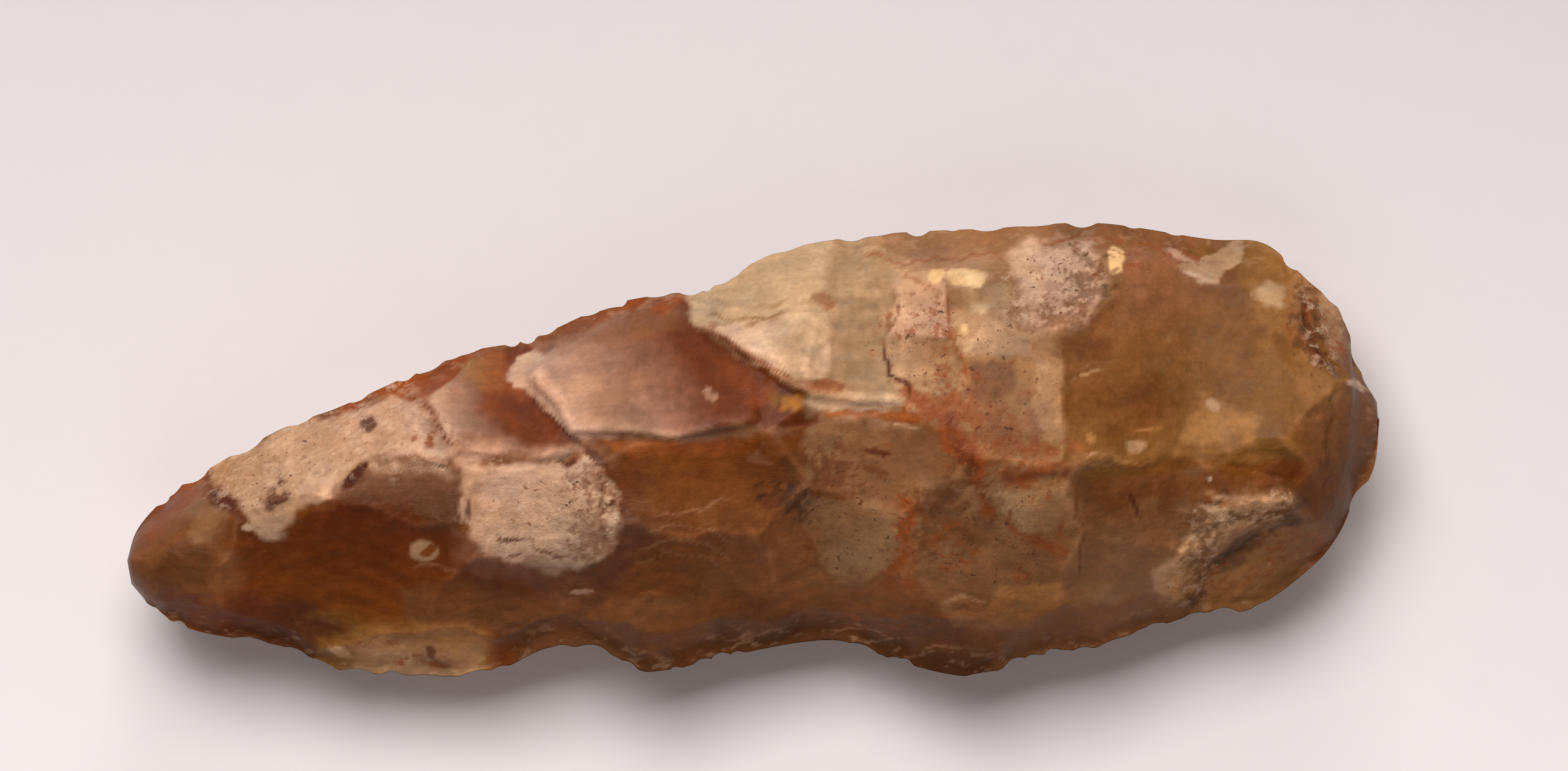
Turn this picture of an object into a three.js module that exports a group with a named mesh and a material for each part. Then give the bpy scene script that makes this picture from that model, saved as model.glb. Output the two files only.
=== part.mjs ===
// A chipped flint axe head, lying on the flat spot of its back face.
// The butt is at -X, the cutting edge at +X, and the shown face looks up along +Z.
// Units are millimetres. The carving is written in hundredths of the axe's own length.
import * as THREE from 'three';

// Driving sizes
const LENGTH = 150;
const WIDTH = 54.4;
const FRONT_RISE = 17.5;
const BACK_RISE = 17.0;
const FLAT_DEPTH = 1.7;

// One hundredth of the length, and the same across the stone, where the outline is 36.3 of them wide
const SHARE = LENGTH / 100;
const OUTLINE_WIDTH = 36.27;
const ACROSS = WIDTH / OUTLINE_WIDTH;

// The back's flakes, struck from its upper and its lower edge, in hundredths of the length
const UPPER_FLAKE_LENGTH = 7.4;
const UPPER_FLAKE_WIDTH = 6.4;
const UPPER_FLAKE_DEPTH = 2.0;
const LOWER_FLAKE_LENGTH = 8.2;
const LOWER_FLAKE_WIDTH = 6.8;
const LOWER_FLAKE_DEPTH = 2.2;

// How those flakes lie, in degrees, and how much that changes along a row
const FLAKE_TURN = 80;
const FLAKE_SWING = 14;

// Fineness of the facets
const STATIONS = 92;
const STRIPS = 22;

// Outline from the butt's tip to the cutting edge's tip, in hundredths of the length
const UPPER_EDGE = [
  [-50.0, -8.9], [-49.2, -6.4], [-46.6, -3.5], [-43.2, -1.3], [-37.0, 2.0], [-33.3, 3.3],
  [-23.2, 7.7], [-18.0, 8.8], [-11.7, 11.5], [-8.0, 12.3], [-4.0, 12.9], [2.0, 15.8],
  [8.8, 17.1], [19.5, 17.7], [27.5, 18.1], [36.8, 16.8], [40.8, 16.5], [44.4, 13.4],
  [47.4, 10.6], [47.9, 7.3], [49.7, 4.6], [50.0, 2.4],
];
const LOWER_EDGE = [
  [-50.0, -8.9], [-49.3, -11.6], [-45.5, -14.1], [-37.0, -15.9], [-33.4, -17.6], [-29.5, -18.0],
  [-21.2, -17.9], [-16.2, -15.8], [-12.6, -16.0], [-8.2, -17.8], [-3.0, -16.7], [6.8, -15.3],
  [10.4, -16.6], [17.8, -18.1], [22.3, -16.5], [26.6, -16.0], [36.0, -13.1], [39.8, -12.8],
  [45.2, -8.9], [46.9, -6.6], [47.8, -4.6], [49.5, -1.6], [50.0, 2.4],
];

// How high each face stands, and where its crest runs, at even steps from butt to cutting edge
const FRONT_PROFILE = [0.50, 0.68, 0.79, 0.88, 0.95, 1.00, 1.00, 0.92, 0.74, 0.36];
const FRONT_CREST = [0.50, 0.60, 0.67, 0.66, 0.62, 0.59, 0.54, 0.44, 0.42, 0.45];
const BACK_PROFILE = [0.52, 0.74, 0.88, 0.96, 1.00, 1.00, 0.98, 0.88, 0.68, 0.36];
const BACK_CREST = [0.50, 0.53, 0.52, 0.48, 0.47, 0.48, 0.50, 0.52, 0.50, 0.50];
const CREST_ROUND = 1.85;
const EDGE_ROUND = 0.95;
const BUTT_ROUND = 0.08;
const BIT_ROUND = 0.15;

// How far the sharp edge wanders to either side of the middle plane, as shares of the length
const EDGE_WAVE = 0.011;
const EDGE_WAVES = 3.3;

// A flake scar is a shallow oval dish: name, place x and y, half length, half width, turn, depth
function scar(name, x, y, long, wide, turn, deep) {
  const angle = THREE.MathUtils.degToRad(turn);
  return { name, x, y, long, wide, deep, cos: Math.cos(angle), sin: Math.sin(angle) };
}

const FRONT_SCARS = [
  scar('butt top', -46.0, -4.5, 5.5, 3.0, 40, 1.0),
  scar('butt face', -45.0, -8.8, 6.0, 6.0, 0, 1.4),
  scar('butt under', -46.0, -12.8, 5.5, 2.6, -25, 1.0),
  scar('cortex band', -36.0, -0.6, 10.0, 4.6, 25, 0.5),
  scar('cortex shoulder', -27.6, 2.0, 4.6, 4.0, 20, 0.6),
  scar('red scar', -19.8, 3.0, 8.0, 5.4, 14, 2.0),
  scar('long scar', -8.2, 5.2, 13.0, 6.4, 4, 2.2),
  scar('green scar', -0.5, 11.2, 7.5, 4.6, 22, 1.4),
  scar('fan', 1.6, 8.2, 6.0, 4.4, 30, 1.3),
  scar('pale scar', 8.2, 9.2, 6.0, 8.4, 0, 1.3),
  scar('cracked scar', 14.0, 9.2, 5.0, 7.2, -5, 1.0),
  scar('mottled shelf', 20.5, 4.6, 6.4, 7.6, 0, 1.0),
  scar('speckled scar', 23.6, 12.6, 7.5, 4.8, 8, 1.1),
  scar('olive scar', 33.6, 6.6, 12.5, 9.0, 0, 1.9),
  scar('pale notch', 36.8, 15.4, 4.2, 3.0, 15, 1.1),
  scar('bit hollow', 42.2, 9.6, 5.0, 7.4, 12, 1.2),
  scar('bit upper', 46.2, 9.6, 3.2, 5.2, 22, 1.1),
  scar('bit face', 46.8, -0.8, 5.2, 6.8, -3, 1.3),
  scar('top band left', -25.0, 6.0, 5.5, 1.6, 18, 0.7),
  scar('top band middle', -12.5, 10.2, 6.0, 1.5, 22, 0.8),
  scar('top band', 13.8, 16.2, 6.5, 1.7, -1, 0.8),
  scar('top band right', 27.0, 16.9, 8.5, 1.4, -2, 0.7),
  scar('amber hollow', -33.0, -9.6, 12.0, 6.6, 2, 2.4),
  scar('purple band', -27.6, -3.6, 7.0, 4.0, 2, 1.2),
  scar('cream hollow', -16.8, -4.8, 8.6, 6.4, 0, 1.0),
  scar('glossy hollow', -4.6, -2.6, 10.0, 5.4, 6, 1.9),
  scar('ripple hollow', -8.0, -9.8, 13.0, 5.2, -4, 1.8),
  scar('ripple hollow left', -21.0, -11.6, 9.0, 3.4, 6, 1.5),
  scar('grey shelf', 8.8, -1.0, 9.0, 5.2, -8, 1.1),
  scar('grey patch', 6.4, -8.0, 7.4, 7.4, 5, 1.2),
  scar('mottled scar', 19.0, -7.6, 8.4, 8.4, 5, 1.3),
  scar('amber foot', 31.6, -4.4, 8.4, 4.6, 0, 1.3),
  scar('brown foot', 29.0, -10.8, 6.2, 6.6, 10, 1.2),
  scar('amber foot right', 40.8, -1.4, 6.0, 3.2, -3, 1.0),
  scar('step hollow', 39.8, -9.2, 7.0, 5.0, 25, 2.3),
  scar('foot at the butt', -39.5, -14.2, 7.0, 2.4, -12, 1.0),
  scar('foot under the hollow', -27.0, -16.4, 8.6, 2.8, 4, 1.0),
  scar('foot at the notch', -14.6, -15.8, 6.4, 3.0, 4, 1.7),
  scar('foot under the ripples', -3.6, -15.4, 7.6, 2.8, 8, 1.1),
  scar('foot at the step', 6.6, -15.2, 5.6, 2.8, -4, 1.5),
  scar('foot under the mottling', 15.6, -15.6, 6.2, 3.0, 4, 1.1),
  scar('foot before the bit', 24.6, -14.8, 6.2, 3.0, 14, 1.0),
];

// The back is plainer: a row of scars struck from each long edge, leaving the flat spot between
const BACK_ROWS = [
  {
    side: 1, first: -36, last: 40, count: 8, reach: 0.60,
    long: UPPER_FLAKE_LENGTH, wide: UPPER_FLAKE_WIDTH, deep: UPPER_FLAKE_DEPTH,
  },
  {
    side: -1, first: -38, last: 38, count: 7, reach: 0.62,
    long: LOWER_FLAKE_LENGTH, wide: LOWER_FLAKE_WIDTH, deep: LOWER_FLAKE_DEPTH,
  },
];
const BACK_ENDS = [
  scar('back of the butt', -45, -8.5, 6.0, 6.4, 0, 1.9),
  scar('back of the cutting edge', 45, 2.5, 5.4, 9.0, 8, 1.8),
];

// A ledge is a broken step: the face stands higher on the left of the line's travel
const LEDGES = [
  { drop: 1.3, reach: 2.4, line: [[-15.6, 8.8], [-17.8, 5.8], [-14.2, 1.5], [-6.0, 1.0], [0.6, 2.2]] },
  { drop: 0.7, reach: 2.0, line: [[-26.8, 4.0], [-23.5, -0.2], [-14.2, -1.0]] },
  { drop: 1.0, reach: 2.0, line: [[-5.2, 10.2], [-0.8, 7.6], [4.6, 4.1], [12.2, 3.6]] },
  { drop: 0.35, reach: 1.8, line: [[19.4, -2.2], [28.0, -1.0], [42.0, 0.1], [44.0, -0.9]] },
  { drop: 1.5, reach: 2.0, line: [[35.2, -12.4], [36.4, -8.6], [40.2, -6.0], [43.6, -4.4]] },
  { drop: 0.7, reach: 1.8, line: [[46.9, 5.2], [43.9, 9.2], [43.6, 11.0]] },
];
const LEDGE_SOFT = 0.7;
const LEDGE_FADE = 2.0;

// The value at share u of a row of even steps, on a smooth curve through all of them
function profile(steps, u) {
  const place = u * (steps.length - 1);
  const i = Math.min(Math.floor(place), steps.length - 2);
  const f = place - i;
  const b = steps[i];
  const c = steps[i + 1];
  const a = steps[i - 1] ?? 2 * b - c;
  const d = steps[i + 2] ?? 2 * c - b;
  return b + 0.5 * f * (c - a + f * (2 * a - 5 * b + 4 * c - d + f * (3 * (b - c) + d - a)));
}

// Points at even steps along a smooth line through the outline's points
function edgeLine(points) {
  const knots = points.map(([x, y]) => new THREE.Vector3(x, y, 0));
  const curve = new THREE.CatmullRomCurve3(knots, false, 'centripetal');
  curve.arcLengthDivisions = 1200;
  return curve.getSpacedPoints(STATIONS);
}

// The face's height before any scar, falling from its crest to the sharp edges and both ends
function stoneHeight(steps, crest, u, v) {
  const middle = profile(crest, u);
  const off = v < middle ? (middle - v) / middle : (v - middle) / (1 - middle);
  const butt = 1 - Math.min(u / BUTT_ROUND, 1);
  const bit = 1 - Math.min((1 - u) / BIT_ROUND, 1);
  const ends = Math.sqrt(1 - butt ** 2) * (1 - bit ** 1.6) ** 0.8;
  return profile(steps, u) * ends * Math.max(1 - off ** CREST_ROUND, 0) ** EDGE_ROUND;
}

// How deep one dish cuts at a place
function dish(one, x, y) {
  const along = ((x - one.x) * one.cos + (y - one.y) * one.sin) / one.long;
  const across = ((y - one.y) * one.cos - (x - one.x) * one.sin) / one.wide;
  return one.deep * Math.max(1 - along ** 2 - across ** 2, 0);
}

// Shakes the place a little, so the scars' rims are not smooth ovals
function shaken(x, y) {
  return [
    x + 0.3 * Math.sin(1.1 * y + 0.6 * Math.sin(0.7 * x)),
    y + 0.3 * Math.sin(0.9 * x + 0.8 * Math.sin(0.8 * y)),
  ];
}

// Signed distance to a broken line, positive on its left, with the place along it
function fromLine(line, x, y) {
  let best = { away: Infinity, side: 1, along: 0 };
  let run = 0;
  for (let i = 0; i < line.length - 1; i += 1) {
    const [ax, ay] = line[i];
    const dx = line[i + 1][0] - ax;
    const dy = line[i + 1][1] - ay;
    const length = Math.hypot(dx, dy);
    const t = THREE.MathUtils.clamp(((x - ax) * dx + (y - ay) * dy) / length ** 2, 0, 1);
    const away = Math.hypot(x - ax - t * dx, y - ay - t * dy);
    if (away < best.away) {
      best = { away, side: Math.sign(dx * (y - ay) - dy * (x - ax)) || 1, along: run + t * length };
    }
    run += length;
  }
  return { distance: best.away * best.side, along: best.along, length: run };
}

// The step that one ledge adds at a place
function ledgeStep(ledge, x, y) {
  const { distance, along, length } = fromLine(ledge.line, x, y);
  const start = Math.min(along / LEDGE_FADE, 1);
  const end = Math.min((length - along) / LEDGE_FADE, 1);
  const side = Math.tanh(distance / LEDGE_SOFT);
  return 0.5 * ledge.drop * Math.sqrt(start * end) * side * Math.exp(-Math.abs(distance) / ledge.reach);
}

// The height left after the deepest dish at that place, never cut through
function knapped(height, scars, x, y) {
  const [sx, sy] = shaken(x, y);
  const depth = scars.reduce((most, one) => Math.max(most, dish(one, sx, sy)), 0) * SHARE;
  const most = 0.75 * height;
  return height - (most > 0 ? most * Math.tanh(depth / most) : 0);
}

// The scars of the back, worked out row by row between the outline's edges
function backScars(lower, upper) {
  const scars = [...BACK_ENDS];
  for (const row of BACK_ROWS) {
    for (let k = 0; k < row.count; k += 1) {
      const x = THREE.MathUtils.lerp(row.first, row.last, k / (row.count - 1));
      const near = (line) => line.reduce((a, b) => (Math.abs(b.x - x) < Math.abs(a.x - x) ? b : a)).y;
      const middle = (near(lower) + near(upper)) / 2;
      const half = (near(upper) - near(lower)) / 2;
      const y = middle + row.side * row.reach * half;
      const swing = Math.sin(2.3 * k + row.side);
      const long = row.long * (0.72 + 0.3 * (half / 17)) + 0.6 * swing;
      const turn = FLAKE_TURN + FLAKE_SWING * swing;
      scars.push(scar(`back ${k}`, x, y, long, row.wide + 0.5 * swing, turn, row.deep));
    }
  }
  return scars;
}

function axeGeometry() {
  const lower = edgeLine(LOWER_EDGE);
  const upper = edgeLine(UPPER_EDGE);
  const back = backScars(lower, upper);
  const middle = BACK_RISE - FLAT_DEPTH;
  const positions = [];

  // One point of the stone: side 1 is the shown face, side -1 the back, and both meet at the edge
  function addPoint(i, j, side) {
    const u = i / STATIONS;
    const v = j / STRIPS;
    const x = THREE.MathUtils.lerp(lower[i].x, upper[i].x, v);
    const y = THREE.MathUtils.lerp(lower[i].y, upper[i].y, v);
    const phase = 2 * Math.PI * EDGE_WAVES * u;
    const wave = EDGE_WAVE * LENGTH * THREE.MathUtils.lerp(Math.sin(phase), Math.sin(1.3 * phase + 2), v);
    let z = middle + wave;
    if (side > 0) {
      const height = knapped(FRONT_RISE * stoneHeight(FRONT_PROFILE, FRONT_CREST, u, v), FRONT_SCARS, x, y);
      const step = SHARE * LEDGES.reduce((sum, ledge) => sum + ledgeStep(ledge, x, y), 0);
      z += height + THREE.MathUtils.clamp(step, -0.5 * height, 0.6 * height);
    } else {
      z -= knapped(BACK_RISE * stoneHeight(BACK_PROFILE, BACK_CREST, u, v), back, x, y);
      z = Math.max(z, 0);
    }
    positions.push(x * SHARE, y * ACROSS, z);
    return positions.length / 3 - 1;
  }

  const front = [];
  const under = [];
  for (let i = 0; i <= STATIONS; i += 1) {
    const tip = i === 0 || i === STATIONS;
    front.push([]);
    under.push([]);
    for (let j = 0; j <= STRIPS; j += 1) {
      const edge = j === 0 || j === STRIPS;
      front[i].push(tip && j > 0 ? front[i][0] : addPoint(i, j, 1));
      under[i].push(tip || edge ? front[i][j] : addPoint(i, j, -1));
    }
  }

  const index = [];
  function addTriangle(a, b, c) {
    if (a !== b && b !== c && c !== a) index.push(a, b, c);
  }
  const height = (point) => positions[3 * point + 2];
  for (let i = 0; i < STATIONS; i += 1) {
    for (let j = 0; j < STRIPS; j += 1) {
      for (const [side, grid] of [[1, front], [-1, under]]) {
        const [a, b, c, d] = [grid[i][j], grid[i + 1][j], grid[i + 1][j + 1], grid[i][j + 1]];
        const [left, right] = side > 0 ? [b, d] : [d, b];
        if (Math.abs(height(a) - height(c)) < Math.abs(height(b) - height(d))) {
          addTriangle(a, left, c);
          addTriangle(a, c, right);
        } else {
          addTriangle(a, left, right);
          addTriangle(left, c, right);
        }
      }
    }
  }

  const geometry = new THREE.BufferGeometry();
  geometry.setAttribute('position', new THREE.Float32BufferAttribute(positions, 3));
  geometry.setIndex(index);
  geometry.computeBoundingBox();
  const box = geometry.boundingBox;
  geometry.translate(-(box.min.x + box.max.x) / 2, -(box.min.y + box.max.y) / 2, -box.min.z);
  geometry.computeVertexNormals();
  return geometry;
}

const flint = new THREE.MeshStandardMaterial({ color: 0x8f6238, roughness: 0.45, metalness: 0 });
const axeHead = new THREE.Mesh(axeGeometry(), flint);
axeHead.name = 'axe_head';

const axe = new THREE.Group();
axe.add(axeHead);

export default axe;
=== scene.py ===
"""A chipped flint axe head lying on a pale floor, seen from straight above.

The stone is one closed mesh. Its shown face and its plainer back meet at a sharp edge that wanders a little.
Places and sizes on the stone are in hundredths of its length: x runs from the butt to the cutting edge, y up
the picture, and the middle of the stone's box is at 0, 0.
"""
import logging
import math
from dataclasses import dataclass, field
from enum import Enum
from typing import Sequence

import bpy
import numpy as np
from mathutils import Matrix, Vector


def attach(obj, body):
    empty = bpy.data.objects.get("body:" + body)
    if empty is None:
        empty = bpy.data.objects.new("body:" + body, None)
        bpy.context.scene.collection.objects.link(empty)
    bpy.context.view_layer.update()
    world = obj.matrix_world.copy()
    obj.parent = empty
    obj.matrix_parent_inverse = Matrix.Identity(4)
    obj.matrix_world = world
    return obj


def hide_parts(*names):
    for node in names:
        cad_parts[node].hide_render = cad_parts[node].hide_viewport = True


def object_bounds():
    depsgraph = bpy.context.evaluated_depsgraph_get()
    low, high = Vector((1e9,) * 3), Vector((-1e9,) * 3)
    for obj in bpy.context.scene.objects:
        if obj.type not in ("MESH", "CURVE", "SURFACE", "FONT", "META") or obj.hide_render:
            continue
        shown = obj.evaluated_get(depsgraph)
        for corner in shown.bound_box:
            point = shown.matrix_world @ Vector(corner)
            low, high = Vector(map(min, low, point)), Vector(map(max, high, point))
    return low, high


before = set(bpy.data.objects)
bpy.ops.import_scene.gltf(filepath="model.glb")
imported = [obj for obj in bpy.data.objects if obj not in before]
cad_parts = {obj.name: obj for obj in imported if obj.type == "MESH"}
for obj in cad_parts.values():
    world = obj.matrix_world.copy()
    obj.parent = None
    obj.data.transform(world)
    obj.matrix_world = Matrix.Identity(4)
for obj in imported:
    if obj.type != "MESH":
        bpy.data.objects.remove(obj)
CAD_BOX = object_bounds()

log = logging.getLogger("flint axe")

Point = tuple[float, float]
Array = np.ndarray
Socket = bpy.types.NodeSocket

LENGTH = CAD_BOX[1].x - CAD_BOX[0].x
SHARE = LENGTH / 100
NODE = "axe_head"
SEED = 41

# How high each face stands above the middle plane, and how far the flat spot cuts into the back
FRONT_RISE = 11.67
BACK_RISE = 11.33
FLAT_DEPTH = 1.13

# The outline from the butt's tip to the cutting edge's tip
UPPER_EDGE: list[Point] = [
    (-50, -8.9), (-49.2, -6.4), (-46.6, -3.5), (-43.2, -1.3), (-37, 2), (-33.3, 3.3), (-23.2, 7.7),
    (-18, 8.8), (-11.7, 11.5), (-8, 12.3), (-4, 12.9), (2, 15.8), (8.8, 17.1), (19.5, 17.7), (27.5, 18.1),
    (36.8, 16.8), (40.8, 16.5), (44.4, 13.4), (47.4, 10.6), (47.9, 7.3), (49.7, 4.6), (50, 2.4),
]
LOWER_EDGE: list[Point] = [
    (-50, -8.9), (-49.3, -11.6), (-45.5, -14.1), (-37, -15.9), (-33.4, -17.6), (-29.5, -18),
    (-21.2, -17.9), (-16.2, -15.8), (-12.6, -16), (-8.2, -17.8), (-3, -16.7), (6.8, -15.3), (10.4, -16.6),
    (17.8, -18.1), (22.3, -16.5), (26.6, -16), (36, -13.1), (39.8, -12.8), (45.2, -8.9), (46.9, -6.6),
    (47.8, -4.6), (49.5, -1.6), (50, 2.4),
]

# The faces' heights and the places of their crests, at even steps from butt to cutting edge
FRONT_PROFILE = [0.50, 0.68, 0.79, 0.88, 0.95, 1.00, 1.00, 0.92, 0.74, 0.36]
FRONT_CREST = [0.50, 0.60, 0.67, 0.66, 0.62, 0.59, 0.54, 0.44, 0.42, 0.45]
BACK_PROFILE = [0.52, 0.74, 0.88, 0.96, 1.00, 1.00, 0.98, 0.88, 0.68, 0.36]
BACK_CREST = [0.50, 0.53, 0.52, 0.48, 0.47, 0.48, 0.50, 0.52, 0.50, 0.50]
CREST_ROUND = 1.85
EDGE_ROUND = 0.95
BUTT_ROUND = 0.08
BIT_ROUND = 0.15
EDGE_WAVE = 1.1
EDGE_WAVES = 3.3


class Tint(Enum):
    """The stone's colours as red, green and blue on the usual 0 to 255 scale."""

    AMBER_DEEP = (92, 34, 2)
    AMBER = (124, 62, 8)
    ORANGE = (160, 86, 36)
    GOLD = (180, 112, 38)
    BROWN = (112, 62, 26)
    BROWN_DARK = (90, 50, 22)
    UMBER = (124, 76, 42)
    GREY_BROWN = (144, 102, 68)
    OLIVE = (126, 82, 32)
    GREY_OLIVE = (166, 130, 94)
    PALE_GREEN = (196, 161, 124)
    IVORY = (228, 186, 134)
    CREAM = (208, 170, 140)
    PINK_CREAM = (194, 150, 124)
    PINK_BROWN = (156, 104, 76)
    RED_BROWN = (106, 48, 18)
    RED_DARK = (84, 32, 14)
    PURPLE = (84, 46, 32)
    MAUVE = (124, 82, 60)
    RUST = (138, 66, 24)
    OCHRE = (172, 118, 66)
    TAN = (190, 148, 112)
    BLACK = (34, 20, 14)

    def linear(self) -> Array:
        """The colour in linear light."""
        part = np.array(self.value, float) / 255
        return np.where(part <= 0.04045, part / 12.92, ((part + 0.055) / 1.055) ** 2.4)


def eased(part: Array) -> Array:
    """A share from 0 to 1 that starts and ends gently."""
    return part * part * (3 - 2 * part)


class Noise:
    """Smooth seeded noise over the stone's two flat directions."""

    def __init__(self, seed: int, size: int = 64) -> None:
        """Fills the lattice.

        Args:
            seed: The random seed.
            size: The lattice's steps before it repeats.
        """
        self.size = size
        self.lattice = np.random.default_rng(seed).uniform(-1, 1, (size, size))

    def smooth(self, x: Array, y: Array) -> Array:
        """One octave, with a feature about every whole number.

        Args:
            x: Places along the stone.
            y: Places across it.

        Returns:
            Values between -1 and 1.
        """
        ix, iy = np.floor(x).astype(int), np.floor(y).astype(int)
        fx, fy = eased(x - ix), eased(y - iy)
        a, b = ix % self.size, iy % self.size
        c, d = (a + 1) % self.size, (b + 1) % self.size
        low = self.lattice[a, b] * (1 - fx) + self.lattice[c, b] * fx
        high = self.lattice[a, d] * (1 - fx) + self.lattice[c, d] * fx
        return low * (1 - fy) + high * fy

    def __call__(self, x: Array, y: Array, grain: float, octaves: int = 3) -> Array:
        """Several octaves added up.

        Args:
            x: Places along the stone.
            y: Places across it.
            grain: The size of the largest features.
            octaves: How many times the detail is halved.

        Returns:
            Values between about -1 and 1.
        """
        total = np.zeros(np.broadcast(x, y).shape)
        for k in range(octaves):
            scale = 2 ** k / grain
            turned = (x * 0.8 + y * 0.6) * scale + 17.3 * k, (y * 0.8 - x * 0.6) * scale - 9.1 * k
            total += 0.55 ** k * self.smooth(*turned)
        return total / 1.4


def even_value(steps: Sequence[float], u: Array) -> Array:
    """The value on a smooth curve through evenly spaced steps.

    Args:
        steps: The values that it goes through.
        u: Shares of the way along it.

    Returns:
        The curve's value at each share.
    """
    row = np.array([2 * steps[0] - steps[1], *steps, 2 * steps[-1] - steps[-2]], float)
    place = u * (len(steps) - 1)
    i = np.minimum(np.floor(place).astype(int), len(steps) - 2)
    f = place - i
    a, b, c, d = row[i], row[i + 1], row[i + 2], row[i + 3]
    return b + 0.5 * f * (c - a + f * (2 * a - 5 * b + 4 * c - d + f * (3 * (b - c) + d - a)))


def smooth_line(points: Sequence[Point], count: int) -> Array:
    """Evenly spaced points along a smooth line.

    Args:
        points: The points that it goes through.
        count: How many to return.

    Returns:
        An array of count rows of x and y.
    """
    p = np.array(points, float)
    p = np.vstack([2 * p[0] - p[1], p, 2 * p[-1] - p[-2]])
    gap = np.sqrt(np.hypot(*np.diff(p, axis=0).T))[:, None]
    t = np.linspace(0, 1, 32, endpoint=False)[:, None]
    fine = []
    for i in range(1, len(p) - 2):
        before, here, after = gap[i - 1], gap[i], gap[i + 1]
        step = (p[i + 1] - p[i]) / here
        leave = (p[i] - p[i - 1]) / before - (p[i + 1] - p[i - 1]) / (before + here) + step
        reach = step - (p[i + 2] - p[i]) / (here + after) + (p[i + 2] - p[i + 1]) / after
        fine.append((2 * t ** 3 - 3 * t ** 2 + 1) * p[i] + (t ** 3 - 2 * t ** 2 + t) * here * leave
                    + (3 * t ** 2 - 2 * t ** 3) * p[i + 1] + (t ** 3 - t ** 2) * here * reach)
    fine = np.vstack([*fine, p[-2:-1]])
    run = np.concatenate([[0], np.cumsum(np.hypot(*np.diff(fine, axis=0).T))])
    want = np.linspace(0, run[-1], count)
    return np.stack([np.interp(want, run, fine[:, 0]), np.interp(want, run, fine[:, 1])], 1)


def to_stretch(a: Point, b: Point, x: Array, y: Array) -> tuple[Array, Array]:
    """How far places are from a straight stretch.

    Args:
        a: The stretch's start.
        b: Its end.
        x: Places along the stone.
        y: Places across it.

    Returns:
        The distance, and the share of the stretch where its nearest point lies.
    """
    dx, dy = b[0] - a[0], b[1] - a[1]
    t = np.clip(((x - a[0]) * dx + (y - a[1]) * dy) / (dx * dx + dy * dy), 0, 1)
    return np.hypot(x - a[0] - t * dx, y - a[1] - t * dy), t


def from_line(line: Sequence[Point], x: Array, y: Array, fade: float) -> tuple[Array, Array]:
    """Distance to a broken line.

    Args:
        line: The line's corners.
        x: Places along the stone.
        y: Places across it.
        fade: Over what length both its ends fade.

    Returns:
        The distance, positive on the line's left, and the line's strength there, from 0 at its ends to 1.
    """
    nearest = np.full(x.shape, np.inf)
    side = np.ones(x.shape)
    place = np.zeros(x.shape)
    run = 0.0
    for a, b in zip(line[:-1], line[1:]):
        away, t = to_stretch(a, b, x, y)
        length = math.dist(a, b)
        near = away < nearest
        nearest = np.where(near, away, nearest)
        left = (b[0] - a[0]) * (y - a[1]) >= (b[1] - a[1]) * (x - a[0])
        side = np.where(near, np.where(left, 1.0, -1.0), side)
        place = np.where(near, run + t * length, place)
        run += length
    return nearest * side, np.clip(place / fade, 0, 1) * np.clip((run - place) / fade, 0, 1)


@dataclass(frozen=True)
class Oval:
    """A turned oval on a face: its middle, half length, half width and turn in degrees."""

    x: float
    y: float
    long: float
    wide: float
    turn: float = 0.0
    square = 2.0

    def reach(self, x: Array, y: Array) -> Array:
        """How far out places lie.

        Args:
            x: Places along the stone.
            y: Places across it.

        Returns:
            0 in the middle and 1 on the rim.
        """
        c, s = math.cos(math.radians(self.turn)), math.sin(math.radians(self.turn))
        dx, dy = x - self.x, y - self.y
        along, across = np.abs(dx * c + dy * s) / self.long, np.abs(dy * c - dx * s) / self.wide
        return (along ** self.square + across ** self.square) ** (1 / self.square)


@dataclass(frozen=True)
class Scar(Oval):
    """A flake scar, an oval dish."""

    deep: float = 1.0

    def depth(self, x: Array, y: Array) -> Array:
        """How deep the dish cuts at each place."""
        return self.deep * np.clip(1 - self.reach(x, y) ** 2, 0, None)


@dataclass(frozen=True)
class Ledge:
    """A broken step: the face stands higher on the left of the line's travel."""

    drop: float
    fall: float
    line: tuple[Point, ...]
    soft: float = 0.30
    fade: float = 2.0

    def step(self, x: Array, y: Array) -> Array:
        """The height that the step adds at each place."""
        away, ends = from_line(self.line, x, y, self.fade)
        return 0.5 * self.drop * np.sqrt(ends) * np.tanh(away / self.soft) * np.exp(-np.abs(away) / self.fall)


@dataclass(frozen=True)
class Blow:
    """Marks round a struck point: its place, where they start and stop, their direction and spread."""

    x: float
    y: float
    inner: float
    outer: float
    turn: float
    spread: float

    def seen_from(self, x: Array, y: Array, near: float, far: float, side: float) -> tuple[Array, ...]:
        """Where the marks lie.

        Args:
            x: Places along the stone.
            y: Places across it.
            near: Over what length the marks begin.
            far: Over what length they end.
            side: Over how many degrees they end sideways.

        Returns:
            The distance from the struck point, the angle off the direction, and the marks' strength.
        """
        away = np.hypot(x - self.x, y - self.y)
        angle = (np.degrees(np.arctan2(y - self.y, x - self.x)) - self.turn + 180) % 360 - 180
        inside = np.clip((away - self.inner) / near, 0, 1) * np.clip((self.outer - away) / far, 0, 1)
        return away, angle, inside * np.clip((self.spread - np.abs(angle)) / side, 0, 1)


@dataclass(frozen=True)
class Ripple(Blow):
    """Rings left by the blow."""

    wave: float
    high: float
    stray = 2.2
    second_stray = 4.0
    second_high = 0.35
    second_pace = 0.53

    def height(self, x: Array, y: Array, shake: Array) -> Array:
        """The rings' height.

        Args:
            x: Places along the stone.
            y: Places across it.
            shake: How far the rings stray at each place.

        Returns:
            The height at each place.
        """
        away, _, inside = self.seen_from(x, y, self.wave, self.wave, 12)
        phase = 2 * math.pi * away / self.wave
        second = np.sin(self.second_pace * phase + self.second_stray * shake)
        return 0.5 * self.high * inside * (np.sin(phase + self.stray * shake) + self.second_high * second)


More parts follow.
